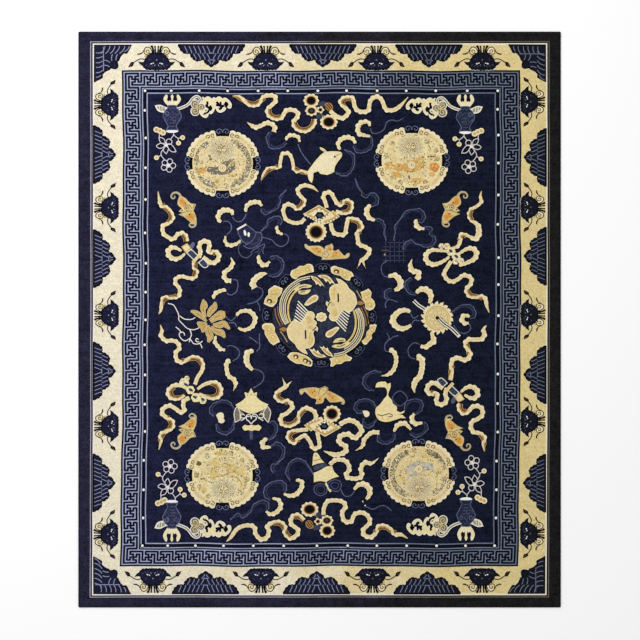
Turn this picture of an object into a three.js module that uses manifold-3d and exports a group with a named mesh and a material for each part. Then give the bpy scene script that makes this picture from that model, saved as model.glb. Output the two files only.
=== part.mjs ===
// A hand-knotted Chinese room carpet, lying flat with its pile up.
// Millimetres, +Z up. The origin is the middle of the underside, on the floor.
// +X runs along the wefts, from selvedge to selvedge, and +Y along the warps, from end to end.
import * as THREE from "three";
import { mergeVertices } from "three/addons/utils/BufferGeometryUtils.js";
import Module from "manifold-3d";

// Driving dimensions of the woven piece
const RUG_WIDTH = 2490;
const RUG_LENGTH = 2972;
const CORNER_RADIUS = 6;

// The cotton foundation and the wool pile that stands on it
const FOUNDATION_THICK = 3;
const PILE_HEIGHT = 6;
const SHOULDER_ROUND = 2.4; // how far the outermost knots lean over, in plan and in height

// The edge cords, overcast with yarn all the way round, stand lower than the pile
const EDGE_WIDTH = 9;
const EDGE_THICK = 6;
const EDGE_ROUND = 2.4;

const ARC_STEPS = 6; // facets to each rounded corner and each rounded edge

const wasm = await Module();
wasm.setup();

// A rectangle with round corners, its sides drawn in by inset from the carpet's outline.
function outline(inset) {
  const x = RUG_WIDTH / 2 - inset;
  const y = RUG_LENGTH / 2 - inset;
  const r = CORNER_RADIUS;
  const shape = new THREE.Shape();
  shape.moveTo(x, -y + r);
  shape.lineTo(x, y - r);
  shape.absarc(x - r, y - r, r, 0, Math.PI / 2, false);
  shape.lineTo(-x + r, y);
  shape.absarc(-x + r, y - r, r, Math.PI / 2, Math.PI, false);
  shape.lineTo(-x, -y + r);
  shape.absarc(-x + r, -y + r, r, Math.PI, 1.5 * Math.PI, false);
  shape.lineTo(x - r, -y);
  shape.absarc(x - r, -y + r, r, 1.5 * Math.PI, 2 * Math.PI, false);
  return shape;
}

// A layer of cloth from one height to another, its upper and lower edges rounded by round.
function layer(inset, bottom, top, round) {
  const geometry = new THREE.ExtrudeGeometry(outline(inset), {
    depth: top - bottom - 2 * round,
    bevelThickness: round,
    bevelSize: round,
    bevelOffset: -round,
    bevelSegments: ARC_STEPS,
    curveSegments: ARC_STEPS,
  });
  return geometry.translate(0, 0, bottom + round);
}

// A closed geometry as a solid that can be joined to another.
function solidOf(geometry) {
  geometry.deleteAttribute("normal");
  geometry.deleteAttribute("uv");
  const merged = mergeVertices(geometry, 1e-3);
  return new wasm.Manifold(
    new wasm.Mesh({
      numProp: 3,
      vertProperties: new Float32Array(merged.attributes.position.array),
      triVerts: new Uint32Array(merged.index.array),
    }),
  );
}

function geometryOf(solid) {
  const mesh = solid.getMesh();
  const geometry = new THREE.BufferGeometry();
  geometry.setAttribute("position", new THREE.BufferAttribute(mesh.vertProperties, 3));
  geometry.setIndex(new THREE.BufferAttribute(mesh.triVerts, 1));
  geometry.computeVertexNormals();
  return geometry;
}

// The carpet is one woven piece. Its foundation runs out into the overcast edge,
// and the pile begins where the edge yarn stops.
function carpet() {
  const wovenBase = layer(0, 0, EDGE_THICK, EDGE_ROUND);
  const pileRoot = FOUNDATION_THICK / 2;
  const pileTop = FOUNDATION_THICK + PILE_HEIGHT;
  const pile = layer(EDGE_WIDTH, pileRoot, pileTop, SHOULDER_ROUND);
  return geometryOf(solidOf(wovenBase).add(solidOf(pile)));
}

const indigoWool = new THREE.MeshStandardMaterial({
  color: 0x1d1b33,
  roughness: 0.95,
  metalness: 0,
});

const rug = new THREE.Group();
const carpetMesh = new THREE.Mesh(carpet(), indigoWool);
carpetMesh.name = "carpet";
rug.add(carpetMesh);

export default rug;
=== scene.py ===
"""A Chinese room carpet: knotted wool pile, its pattern, its overcast edges, and the studio round it."""
import math
import random
from contextlib import contextmanager

import bmesh
import bpy
from bpy.props import FloatProperty, FloatVectorProperty, PointerProperty
from mathutils import Matrix, Vector
from mathutils.geometry import interpolate_bezier


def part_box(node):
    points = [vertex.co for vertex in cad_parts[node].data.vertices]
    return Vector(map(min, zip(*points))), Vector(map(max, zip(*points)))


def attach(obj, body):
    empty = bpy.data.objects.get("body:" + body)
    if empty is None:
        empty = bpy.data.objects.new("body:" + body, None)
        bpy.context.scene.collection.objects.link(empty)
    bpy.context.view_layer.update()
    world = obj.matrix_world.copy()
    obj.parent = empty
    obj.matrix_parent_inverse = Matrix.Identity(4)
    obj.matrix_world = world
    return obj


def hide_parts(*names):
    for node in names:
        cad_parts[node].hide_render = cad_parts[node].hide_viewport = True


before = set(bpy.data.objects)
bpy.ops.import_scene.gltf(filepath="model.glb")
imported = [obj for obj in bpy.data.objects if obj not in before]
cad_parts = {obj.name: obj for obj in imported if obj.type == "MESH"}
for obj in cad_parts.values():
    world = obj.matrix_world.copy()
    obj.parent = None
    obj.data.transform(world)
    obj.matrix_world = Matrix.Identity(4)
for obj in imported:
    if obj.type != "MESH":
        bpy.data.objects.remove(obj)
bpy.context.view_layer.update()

bl_info = {
    "name": "Chinese carpet",
    "version": (1, 0, 0),
    "blender": (4, 5, 0),
    "location": "View3D > Sidebar > Carpet",
    "description": "Makes the pile, pattern and edge yarn of a Chinese room carpet",
    "category": "Mesh",
}

# The weaver's chart: 482.7 squares from selvedge to selvedge, with the middle of the carpet at 0, 0
LOW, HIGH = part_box("carpet")
CHART_ACROSS = 482.7
SQUARE = (HIGH.x - LOW.x) / CHART_ACROSS
HALF_X = HIGH.x / SQUARE
HALF_Y = HIGH.y / SQUARE
PILE_TOP = HIGH.z

# Small steps in height, in metres
TIE_STEP = 0.000002  # so that no two inlays of a level lie in one plane
TIES = 20

# Frames of the ground from the outside in: name, half width and half length in chart squares, wool
FRAMES = (
    ("guard", 241.4, 288.2, "guard_navy"),
    ("grey line", 229.7, 278.1, "dusk_blue"),
    ("brown line", 228.7, 277.2, "brown_black"),
    ("white line", 227.3, 276.0, "ivory_line"),
    ("border", 225.7, 274.4, "ivory_border"),
    ("fret", 199.2, 248.1, "fret_navy"),
    ("pearl line", 179.3, 230.1, "fret_blue"),
    ("pearl band", 178.2, 229.0, "fret_navy"),
    ("field line", 174.6, 225.7, "fret_blue"),
    ("field", 173.5, 224.6, "field_navy"),
)
GRID_STEP = 12  # squares between the plain cuts of the ground
GRID_HALF_X = 228
GRID_HALF_Y = 276

# The woven edge: distance in from the outline and height, in metres, from the pile down to the underside
EDGE_PROFILE = (
    (0.0097, PILE_TOP - 0.0007),
    (0.0090, PILE_TOP - 0.0024),
    (0.0090, 0.0060),
    (0.0024, 0.0060),
    (0.0007, 0.0053),
    (0.0000, 0.0036),
    (0.0000, 0.0024),
    (0.0007, 0.0007),
    (0.0024, 0.0000),
)
PILE_INSET = 0.0114
CORNER_RADIUS = 0.006


LEAN_MARGIN = 40  # squares in from the outline to where the weaving leans in full
LEAN_HALF = 248  # half of the length over which its sides bow


def lean(x, y):
    """Where a chart point really lies: the weaving leans and wanders a little, but not at the outline."""
    inside = min(HALF_X - abs(x), HALF_Y - abs(y)) / LEAN_MARGIN
    share = max(0.0, min(1.0, inside)) ** 1.2
    t = y / LEAN_HALF
    dx = 2.2 + 1.18 * t - 1.72 * t * t + 0.35 * math.sin(y / 21) + 0.25 * math.sin(y / 9 + 1)
    dy = 1.1 + 0.45 * math.sin(x / 27 + 0.6) + 0.3 * math.sin(x / 11)
    return x + dx * share, y + dy * share


# Wools: display colours at the left and the right of the carpet, and the strengths of the dye bands and the
# mottling
WOOLS = {
    "guard_navy": ((0.150, 0.148, 0.222), (0.108, 0.104, 0.108), 0.35, 0.95),
    "dusk_blue": ((0.62, 0.60, 0.68), (0.40, 0.37, 0.34), 0.15, 0.25),
    "brown_black": ((0.12, 0.09, 0.10), (0.10, 0.07, 0.06), 0.15, 0.20),
    "ivory_line": ((0.93, 0.91, 0.88), (0.92, 0.90, 0.82), 0.05, 0.06),
    "ivory_border": ((0.925, 0.89, 0.79), (0.87, 0.79, 0.56), 0.06, 0.20),
    "fret_navy": ((0.060, 0.060, 0.125), (0.030, 0.045, 0.090), 0.20, 0.20),
    "fret_blue": ((0.63, 0.66, 0.78), (0.42, 0.46, 0.53), 0.18, 0.20),
    "field_navy": ((0.112, 0.120, 0.218), (0.078, 0.097, 0.165), 0.55, 1.0),
    "shadow": ((0.050, 0.045, 0.085), (0.045, 0.05, 0.07), 0.10, 0.10),
    "pearl": ((0.97, 0.96, 0.94), (0.97, 0.96, 0.92), 0.03, 0.04),
    "hill_navy": ((0.115, 0.118, 0.205), (0.085, 0.09, 0.13), 0.15, 0.50),
    "scale_blue": ((0.56, 0.58, 0.70), (0.42, 0.45, 0.53), 0.10, 0.20),
    "scale_dim": ((0.30, 0.31, 0.43), (0.25, 0.28, 0.36), 0.10, 0.20),
    "tendril_brown": ((0.19, 0.14, 0.09), (0.18, 0.13, 0.07), 0.10, 0.25),
    "bud_brown": ((0.40, 0.31, 0.28), (0.40, 0.30, 0.25), 0.10, 0.25),
    "leaf_grey": ((0.72, 0.69, 0.60), (0.72, 0.65, 0.52), 0.10, 0.15),
    "ribbon_edge": ((0.93, 0.885, 0.745), (0.93, 0.875, 0.725), 0.05, 0.10),
    "ribbon": ((0.895, 0.82, 0.62), (0.895, 0.81, 0.60), 0.06, 0.16),
    "ribbon_tan": ((0.62, 0.45, 0.25), (0.66, 0.50, 0.30), 0.06, 0.20),
    "ribbon_brown": ((0.34, 0.20, 0.11), (0.36, 0.22, 0.12), 0.06, 0.20),
    "thread_blue": ((0.39, 0.42, 0.54), (0.34, 0.37, 0.47), 0.15, 0.60),
    "thread_dim": ((0.30, 0.31, 0.43), (0.26, 0.29, 0.385), 0.10, 0.50),
    "thread_fill": ((0.165, 0.175, 0.275), (0.13, 0.155, 0.235), 0.10, 0.70),
    "moon_blue": ((0.175, 0.192, 0.262), (0.155, 0.178, 0.242), 0.30, 1.4),
    "cream_gold": ((0.93, 0.87, 0.665), (0.92, 0.85, 0.635), 0.06, 0.12),
    "gold": ((0.80, 0.67, 0.42), (0.82, 0.68, 0.43), 0.08, 0.25),
    "orange": ((0.83, 0.57, 0.27), (0.84, 0.56, 0.25), 0.08, 0.30),
    "petal": ((0.84, 0.82, 0.87), (0.82, 0.80, 0.80), 0.05, 0.10),
    "olive": ((0.75, 0.65, 0.41), (0.75, 0.65, 0.41), 0.06, 0.15),
    "olive_dark": ((0.44, 0.37, 0.22), (0.44, 0.37, 0.22), 0.10, 0.25),
    "gold_pale": ((0.86, 0.76, 0.50), (0.86, 0.76, 0.50), 0.10, 0.30),
    "orange_pale": ((0.84, 0.66, 0.37), (0.84, 0.66, 0.36), 0.10, 0.30),
    "yellow": ((0.82, 0.72, 0.40), (0.82, 0.72, 0.40), 0.10, 0.30),
    "stone_pale": ((0.62, 0.58, 0.48), (0.62, 0.58, 0.48), 0.10, 0.30),
    "slate_pale": ((0.74, 0.73, 0.66), (0.74, 0.73, 0.66), 0.10, 0.30),
    "slate": ((0.24, 0.27, 0.35), (0.22, 0.26, 0.32), 0.10, 0.25),
    "stone": ((0.48, 0.45, 0.39), (0.48, 0.45, 0.39), 0.10, 0.35),
    "edge_navy": ((0.12, 0.12, 0.19), (0.07, 0.075, 0.10), 0.15, 0.15),
    "edge_black": ((0.02, 0.02, 0.035), (0.015, 0.015, 0.025), 0.15, 0.15),
}


class Socket:
    """A socket of a material's nodes. Arithmetic on it adds Math nodes."""

    def __init__(self, tree, socket=None):
        self.tree = tree
        self.socket = socket

    def node(self, kind, settings=None, inputs=None, output=0):
        """Adds a node of that kind. Settings come first, then each input gets its value or link."""
        made = self.tree.nodes.new(kind)
        for name, value in (settings or {}).items():
            setattr(made, name, value)
        for key, value in (inputs or {}).items():
            if isinstance(value, Socket):
                self.tree.links.new(value.socket, made.inputs[key])
            else:
                made.inputs[key].default_value = value
        return Socket(self.tree, made.outputs[output])

    def math(self, operation, *values):
        return self.node("ShaderNodeMath", {"operation": operation}, dict(enumerate(values)))

    def __add__(self, other):
        return self.math("ADD", self, other)

    def __radd__(self, other):
        return self.math("ADD", other, self)

    def __sub__(self, other):
        return self.math("SUBTRACT", self, other)

    def __rsub__(self, other):
        return self.math("SUBTRACT", other, self)

    def __mul__(self, other):
        return self.math("MULTIPLY", self, other)

    def __rmul__(self, other):
        return self.math("MULTIPLY", other, self)

    def between(self, low, high):
        """0 below low, 1 above high, and smooth between them."""
        limits = {0: self, 1: low, 2: high, 3: 0.0, 4: 1.0}
        return self.node("ShaderNodeMapRange", {"interpolation_type": "SMOOTHSTEP"}, limits)

    def stretched(self, x, y):
        """This vector with its axes scaled and its height left out."""
        return self.node("ShaderNodeMapping", {}, {"Vector": self, "Scale": (x, y, 0.0)})

    def noise(self, scale, detail, roughness):
        values = {"Vector": self, "Scale": scale, "Detail": detail, "Roughness": roughness}
        return self.node("ShaderNodeTexNoise", {}, values)

    def times(self, factor):
        """This colour made lighter or darker by a factor."""
        vector = {0: self, "Scale": factor}
        return self.node("ShaderNodeVectorMath", {"operation": "SCALE"}, vector)


def linear(colour):
    """A display colour as the shader wants it."""
    flat = [max(c, 0) / 12.92 if c < 0.04045 else ((c + 0.055) / 1.055) ** 2.4 for c in colour]
    return (*flat, 1.0)


# Noise in the wool, from the wide drift of the dye to single knots: scale, detail and roughness
DRIFT_NOISE = (0.9, 3.0, 0.5)
PATCH_NOISE = (5.5, 3.0, 0.6)
BAND_NOISE = (3.0, 3.0, 0.6)
MOTTLE_NOISE = (26.0, 3.0, 0.65)
GRAIN_NOISE = (95.0, 2.0, 0.6)
KNOT_NOISE = (230.0, 1.0, 0.5)
BAND_STRETCH = (0.55, 22.0)
PILE_BUMP = {"Distance": 0.0012, "Strength": 0.5}
PILE_SURFACE = {"Roughness": 0.92, "Specular IOR Level": 0.03, "Sheen Weight": 0.02, "Sheen Roughness": 0.6}


def wool(name):
    """Worn wool pile: the dye drifts across the carpet and lies in bands along the wefts."""
    made = bpy.data.materials.get(name)
    if made:
        return made
    left, right, banding, mottling = WOOLS[name]
    chosen = getattr(bpy.context.scene.carpet_dyes, name, left)
    right = Vector(right) + Vector(chosen) - Vector(left)
    left = chosen
    made = bpy.data.materials.new(name)
    made.use_nodes = True
    made.diffuse_color = linear(left)
    tree = made.node_tree
    shader = tree.nodes["Principled BSDF"]
    start = Socket(tree)
    place = start.node("ShaderNodeTexCoord", {}, {}, 3)
    across = start.node("ShaderNodeSeparateXYZ", {}, {"Vector": place}, 0)
    wander = place.noise(*DRIFT_NOISE) - 0.5
    patches = place.noise(*PATCH_NOISE) - 0.5
    drift = (across + wander * 1.2 + patches * 2.4).between(-0.9, 0.8)
    bands = place.stretched(*BAND_STRETCH).noise(*BAND_NOISE) - 0.5
    mottle = place.noise(*MOTTLE_NOISE) - 0.5
    grain = place.noise(*GRAIN_NOISE) - 0.5
    knots = place.noise(*KNOT_NOISE) - 0.5
    tone = 1.0 + bands * (2.6 * banding) + mottle * (1.8 * mottling) + grain * (0.4 + 2.0 * mottling)
    tone = tone.math("MAXIMUM", tone, 0.25)
    dyes = {0: drift, 6: linear(left), 7: linear(right)}
    colour = start.node("ShaderNodeMix", {"data_type": "RGBA"}, dyes, 2).times(tone)
    tree.links.new(colour.socket, shader.inputs["Base Color"])
    relief = knots * 0.8 + mottle * 0.6
    bump = relief.node("ShaderNodeBump", {}, {"Height": relief, **PILE_BUMP})
    tree.links.new(bump.socket, shader.inputs["Normal"])
    for key, value in PILE_SURFACE.items():
        shader.inputs[key].default_value = value
    return made


def sunk(bm):
    """Thickens flat inlays downwards, so that each is a closed piece that sits in the ground."""
    made = bmesh.ops.extrude_face_region(bm, geom=bm.faces[:] + bm.edges[:], use_keep_orig=True)["geom"]
    verts = [v for v in made if isinstance(v, bmesh.types.BMVert)]
    bmesh.ops.translate(bm, vec=(0, 0, -bpy.context.scene.carpet_sizes.inlay_depth), verts=verts)
    bmesh.ops.recalc_face_normals(bm, faces=bm.faces)


def mesh_of(name, bm):
    """The shape as a mesh."""
    mesh = bpy.data.meshes.new(name)
    bm.to_mesh(mesh)
    bm.free()
    return mesh


def placed(name, data):
    """A new object of the scene."""
    made = bpy.data.objects.new(name, data)
    bpy.context.scene.collection.objects.link(made)
    return made


def finished(name, bm, wools):
    """The finished piece as an object that rides on the carpet's body."""
    if not bm.faces:
        raise RuntimeError(f"{name} came out empty")
    piece = placed(name, mesh_of(name, bm))
    for each in wools:
        piece.data.materials.append(wool(each))
    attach(piece, "root")
    return piece


# Ribbons and their blue threads, in squares
HALO = 0.9  # the dark line round a light shape
BEND_GAIN = 2.2  # how soon a turn counts as a full bend
FRILL_PITCH = 4.3
FRILL_STEPS = 4
FRILL_LEAST = 0.35  # share of the frill inside a bend
THREAD_FRILL = 0.75
THREAD_WIDTH = 0.9
RIBBON_HALF = 0.435  # half of a ribbon without its frill, as a share of its width
RIBBON_TIP = 0.25  # width of a tapering end, as a share
TIP_RISE = 0.55  # how much of the width comes back from one point to the next
CORE_SHARE = 0.5  # the inside of a ribbon, as a share of its half
CORE_SHIFT = 0.33  # how far it moves in a bend
SHADE_DEPTH = 1.6  # how far the brown reaches beyond a ribbon
SHADE_BITE = 1.7  # how much of the ribbon it takes
SHADE_EDGE = 0.5  # the olive edge beyond it
# Bands of a ribbon from the lowest up: wool, level, and whether a ribbon with no brown has it
RIBBON_BANDS = (
    ("shadow", 1, True),
    ("olive", 2, False),
    ("ribbon_brown", 2.5, False),
    ("ribbon_tan", 3, False),
    ("ribbon_edge", 4, True),
    ("ribbon", 5, True),
)


def smooth(points, closed=False, steps=4):
    """A smooth line through the points. A point that is given twice is a corner."""
    points = [Vector(p) for p in points]
    count = len(points)
    line = []
    for i in range(count if closed else count - 1):
        before = points[i - 1] if closed or i else points[0]
        start = points[i]
        end = points[(i + 1) % count]
        after = points[(i + 2) % count] if closed or i + 2 < count else end
        if (end - start).length < 1e-6:
            continue
        leave = start + (end - before) / 6
        arrive = end - (after - start) / 6
        line += interpolate_bezier(start, leave, arrive, end, steps + 1)[:-1]
    if not closed:
        line.append(points[-1])
    return line


def shape(points, closed=True):
    """A line through the points: round, but with a corner at each point that has a third number."""
    return smooth([p[:2] for p in points for _ in range(1 + (len(p) > 2))], closed)


def arcs(rows, closed=True, steps=5):
    """A line whose sides are arcs. Rows are x, y, and the bulge of the side that starts there: its rise
    as a share of its length, outwards if positive, or to the right on an open line."""
    ends = rows[1:] + rows[:1] if closed else rows[1:]
    turn = sum(a[0] * b[1] - b[0] * a[1] for a, b in zip(rows, ends)) if closed else 1
    line = []
    for a, b in zip(rows, ends):
        start, end = Vector(a[:2]), Vector(b[:2])
        along = end - start
        out = Vector((along.y, -along.x)).normalized() * (1 if turn > 0 else -1)
        if abs(a[2]) < 1e-3:
            line.append(start)
            continue
        sweep = 4 * math.atan(2 * a[2])
        radius = along.length / (2 * math.sin(sweep / 2))
        flat = radius * math.cos(sweep / 2)
        for k in range(steps):
            angle = sweep * (k / steps - 0.5)
            ahead = along.normalized() * (radius * math.sin(angle))
            line.append((start + end) / 2 + ahead + out * (radius * math.cos(angle) - flat))
    if not closed:
        line.append(Vector(rows[-1][:2]))
    return line


def ring(x, y, rx, ry=None, turn=0.0, lobes=0, depth=0.0, steps=20):
    """An oval outline, turned by degrees, whose radius can swell into lobes."""
    ry = rx if ry is None else ry
    steps = max(steps, lobes * 6)
    line = []
    for k in range(steps):
        angle = math.tau * k / steps
        swell = 1 + depth * (abs(math.cos(lobes * angle / 2)) - 0.6) if lobes else 1
        point = Vector((rx * swell * math.cos(angle), ry * swell * math.sin(angle)))
        line.append(point @ Matrix.Rotation(-math.radians(turn), 2) + Vector((x, y)))
    return line


def spiral(x, y, radius, turn=0.0, turns=1.4, steps=16):
    """A line that winds inwards round a point."""
    made = []
    for k in range(steps + 1):
        angle = math.radians(turn) + turns * math.tau * k / steps
        reach = radius * (1 - 0.8 * k / steps)
        made.append(Vector((x + reach * math.cos(angle), y + reach * math.sin(angle))))
    return made


def route(points):
    """The middle line of a ribbon through its points, and its bend at each step, from -1 to 1. The z of a
    step counts the points up to it."""
    rows = [(*p, i) for i, p in enumerate(points)]
    line = resampled(smooth(rows, steps=6), FRILL_PITCH / FRILL_STEPS)
    bends = []
    for i in range(len(line)):
        before = line[i].xy - line[max(i - 3, 0)].xy
        after = line[min(i + 3, len(line) - 1)].xy - line[i].xy
        turn = before.cross(after) / max(before.length * after.length, 1e-6)
        bends.append(max(-1.0, min(1.0, BEND_GAIN * turn)))
    return line, [bends[3]] * 3 + bends[3:-3] + [bends[-4]] * 3


def resampled(line, pitch):
    """The same line with its points one pitch apart."""
    gone = 0.0
    made = [line[0]]
    for a, b in zip(line, line[1:]):
        length = (b.xy - a.xy).length
        while gone + length >= pitch:
            a = a.lerp(b, (pitch - gone) / length)
            length = (b.xy - a.xy).length
            gone = 0.0
            made.append(a)
        gone += length
    if (made[-1].xy - line[-1].xy).length > pitch / 3:
        made.append(line[-1])
    return made


class Pile:
    """A piece of the pattern: flat inlays of coloured wool on the ground, drawn in chart squares."""

    def __init__(self, name, place=Matrix.Identity(3)):
        self.name = name
        self.bm = bmesh.new()
        self.wools = []
        self.place = place
        self.drawn = 0

    @contextmanager
    def at(self, x, y, turn=0.0, size=1.0, mirror=False, tall=1.0):
        """Draws what follows round this point, turned by degrees, and mirrored left to right if asked."""
        kept = self.place
        c, s = math.cos(math.radians(turn)), math.sin(math.radians(turn))
        side = -size if mirror else size
        rise = size * tall
        self.place = kept @ Matrix(((c * side, -s * rise, x), (s * side, c * rise, y), (0, 0, 1)))
        yield
        self.place = kept

    def _faces(self, bm, name, level):
        """Adds faces drawn in squares at z 0 to the piece, placed, in their wool and at their height."""
        self.drawn += 1
        step = bpy.context.scene.carpet_sizes.layer_step
        height = PILE_TOP + level * step + (self.drawn % TIES) * TIE_STEP
        if name not in self.wools:
            self.wools.append(name)
        for v in bm.verts:
            x, y, _ = self.place @ Vector((v.co.x, v.co.y, 1))
            v.co = x * SQUARE, y * SQUARE, height
        bm.normal_update()
        upside_down = sum(face.normal.z * face.calc_area() for face in bm.faces) < 0
        for face in bm.faces:
            face.material_index = self.wools.index(name)
            if upside_down:
                face.normal_flip()
        mesh = mesh_of("inlay", bm)
        self.bm.from_mesh(mesh)
        bpy.data.meshes.remove(mesh)

    def fill(self, outline, name, level=3, halo=0.0):
        """A filled shape. A halo is a line of shadow wool round it."""
        points = [Vector(p[:2]) for p in outline]
        if halo:
            self.line(points, 2 * halo, "shadow", 1, closed=True)
        bm = bmesh.new()
        bm.faces.new([bm.verts.new((*p, 0)) for p in points])
        self._faces(bm, name, level)

    def band(self, line, right, left, name, level=3):
        """A band that reaches the given distances to the right and left of each point of a line."""
        count = len(line) - 1
        closed = (line[0].xy - line[-1].xy).length < 1e-4
        bm = bmesh.new()
        bmesh.ops.create_grid(bm, x_segments=count, y_segments=1, size=1)
        for v in bm.verts:
            i = round((v.co.x + 1) * count / 2)
            before, after = max(i - 1, 0), min(i + 1, count)
            if closed and i in (0, count):
                before, after = count - 1, 1
            along = line[after].xy - line[before].xy
            across = Vector((along.y, -along.x)).normalized()
            v.co.xy = line[i].xy + across * (right[i] if v.co.y > 0 else -left[i])
        self._faces(bm, name, level)

    def strip(self, stations, name, level=3, halo=0.0):
        """A band through stations of x, y and width."""
        line = [Vector(s) for s in stations]
        if halo:
            self.strip([(s.x, s.y, s.z + 2 * halo) for s in line], "shadow", 1)
        half = [s.z / 2 for s in line]
        self.band(line, half, half, name, level)

    def ribbon(self, width, points, tips="", shades=()):
        """A ribbon with a frill outside its bends. It tapers at the start or the end, and it is brown inside
        the bends between the numbered points of each shade."""
        line, bends = route(points)
        depth = bpy.context.scene.carpet_sizes.frill_depth
        last = len(points) - 1
        sides = [], []
        for i, (p, bend) in enumerate(zip(line, bends)):
            slim = 1.0
            if "s" in tips:
                slim = min(slim, RIBBON_TIP + TIP_RISE * p.z)
            if "e" in tips:
                slim = min(slim, RIBBON_TIP + TIP_RISE * (last - p.z))
            if not tips and last < 10:
                slim = 0.62 + 0.43 * math.sin(math.pi * p.z / last)
            half = width * RIBBON_HALF * slim
            frill = depth * abs(math.sin(math.pi * i / FRILL_STEPS)) * slim
            shaded = slim * any(low <= p.z <= high for low, high in shades)
            for side, turn in zip(sides, (bend, -bend)):
                dark = shaded * max(0.0, -turn) ** 0.5
                edge = half - 0.5 + frill * max(FRILL_LEAST, turn) - SHADE_BITE * dark
                core = min(half * (CORE_SHARE - CORE_SHIFT * turn), edge - 0.2)
                brown = half + SHADE_DEPTH * dark
                deep = max(0.1, brown - SHADE_EDGE)
                side.append((max(edge, brown) + HALO, brown, deep, (edge + brown) / 2, edge, core))
        bands = zip(zip(*sides[0]), zip(*sides[1]), RIBBON_BANDS)
        for right, left, (name, level, always) in bands:
            if shades or always:
                self.band(line, right, left, name, level)

    def thread(self, width, points):
        """The blue side of a ribbon: a dark band between two thin lines, the outer one frilled. With no
        width it is one thin line."""
        line, bends = route(points)
        if not width:
            self.line(line, THREAD_WIDTH, "thread_blue", 4)
            return
        outer, inner = [], []
        for i, bend in enumerate(bends):
            side = 1 if bend > 0 else -1
            share = side * abs(bend) ** 0.5
            frill = THREAD_FRILL * abs(math.sin(math.pi * i / FRILL_STEPS))
            outer.append(share * (width / 2 + frill))
            inner.append(-share * width / 2)
        right = [max(a, b) for a, b in zip(outer, inner)]
        left = [-min(a, b) for a, b in zip(outer, inner)]
        self.band(line, right, left, "thread_fill", 2)
        self.band(line, [a + 0.22 for a in inner], [0.22 - a for a in inner], "thread_dim", 3)
        self.band(line, [a + 0.42 for a in outer], [0.42 - a for a in outer], "thread_blue", 4)

    def loop(self, x, y, rx, ry, hole, level):
        """A ribbon tied in a loop: frilled outside and brown inside, round a dark hole."""
        lobes = round(math.pi * (rx + ry) / FRILL_PITCH)
        depth = bpy.context.scene.carpet_sizes.frill_depth
        self.fill(ring(x, y, rx, ry, 0, lobes, depth / rx), "ribbon_edge", level, halo=HALO)
        for share, name in ((0.7, "ribbon"), (0.38, "ribbon_tan"), (0.22, "ribbon_brown"), (0.0, "shadow")):
            level += 0.5
            size = hole + (1 - hole) * share
            self.fill(ring(x, y, rx * size, ry * size), name, level)

    def draw(self, rows, level=2):
        """Draws the rows of a motif, each part over the last. A row is a kind, a wool, a size and the points
        of its parts. The size is the halo of a shape, how far an inner fill is drawn in from the last shape,
        the width of a line, rim or taper, and the radius of dots."""
        for kind, name, size, *parts in rows:
            for points in parts or (outline,):
                if kind == "dots":
                    for x, y in points:
                        self.fill(ring(x, y, size, steps=10), name, level)
                elif kind == "taper":
                    line = smooth(points)
                    stations = [(*p.xy, size * (1 - 0.6 * k / len(line))) for k, p in enumerate(line)]
                    self.strip(stations, name, level, 0.7)
                elif kind == "shape":
                    outline = shape(points)
                    self.fill(outline, name, level, halo=size)
                elif kind == "inner":
                    self.fill(grown(points, -size), name, level)
                else:
                    self.line(shape(points, kind == "rim"), size, name, level, closed=kind == "rim")
                level += 0.5

    def beads(self, points, count, size, names, level=5):
        """Beads of one wool after another, evenly along the line through the points."""
        line = shape(points, False)
        length = sum((b - a).length for a, b in zip(line, line[1:]))
        for i, p in enumerate(resampled(line, length / (count - 0.9))[:count]):
            self.fill(ring(p.x, p.y, size, steps=8), names[i % len(names)], level)

    def speckle(self, x, y, rx, ry, count, names, level, width=0.7):
        """Short strokes of several wools, scattered over an oval."""
        for k in range(count):
            reach = math.sqrt(random.random())
            angle = random.uniform(0, math.tau)
            middle = Vector((x + rx * reach * math.cos(angle), y + ry * reach * math.sin(angle)))
            turn = random.uniform(0, math.pi)
            stroke = Vector((math.cos(turn), math.sin(turn))) * random.uniform(0.4, 0.9)
            self.line([middle - stroke, middle + stroke], width, names[k % len(names)], level)

    def line(self, points, width, name, level=4, closed=False):
        """A band of even width through the points."""
        points = [Vector(p[:2]) for p in points]
        if closed:
            points.append(points[0])
        self.strip([(p.x, p.y, width) for p in points], name, level)

    def finish(self):
        """Sinks the inlays into the ground and hands the piece over."""
        bmesh.ops.remove_doubles(self.bm, verts=self.bm.verts, dist=1e-7)
        sunk(self.bm)
        return finished(self.name, self.bm, self.wools)


def gap(p, a, b):
    """How far a point is from a side."""
    side = b - a
    share = (p - a).dot(side) / max(side.length_squared, 1e-9)
    return (p - a - side * min(max(share, 0.0), 1.0)).length


def grown(points, by):
    """A closed outline moved outwards, or inwards with the points that would cross over left out."""
    count = len(points)
    turn = sum(points[i - 1].cross(points[i]) for i in range(count))
    made = []
    for i in range(count):
        along = points[(i + 1) % count] - points[i - 1]
        out = Vector((along.y, -along.x)).normalized() * (by if turn > 0 else -by)
        made.append(points[i] + out)
    if by < 0:
        sides = [(points[i - 1], points[i]) for i in range(count)]
        made = [p for p in made if min(gap(p, a, b) for a, b in sides) > -0.92 * by]
    return made


def half_sizes(name):
    """Half width and half length of a frame of the ground, in squares."""
    return next((x, y) for frame_name, x, y, _ in FRAMES if frame_name == name)


# The key fret: across it from its outer line to its inner one, and ten squares along to a repeat
FRET_CHART = (
    "#.#######.#",
    "#.......#.#",
    "#######.#.#",
    "#...#...#.#",
    "#.#.#.###.#",
    "#.#.....#.#",
    "#.###.#.#.#",
    "#.#...#...#",
    "#.#.#######",
    "#.#.......#",
)
FRET_BAND = 11  # squares across it
FRET_COLUMNS = 261
FRET_ROWS = 341
FRET_HALF_X = 196.95  # to the middle of the outer line
FRET_HALF_Y = 246.0
FRET_ACROSS_X = 1.56  # a line and its gap where the fret runs up the sides
FRET_ACROSS_Y = 1.41


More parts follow.
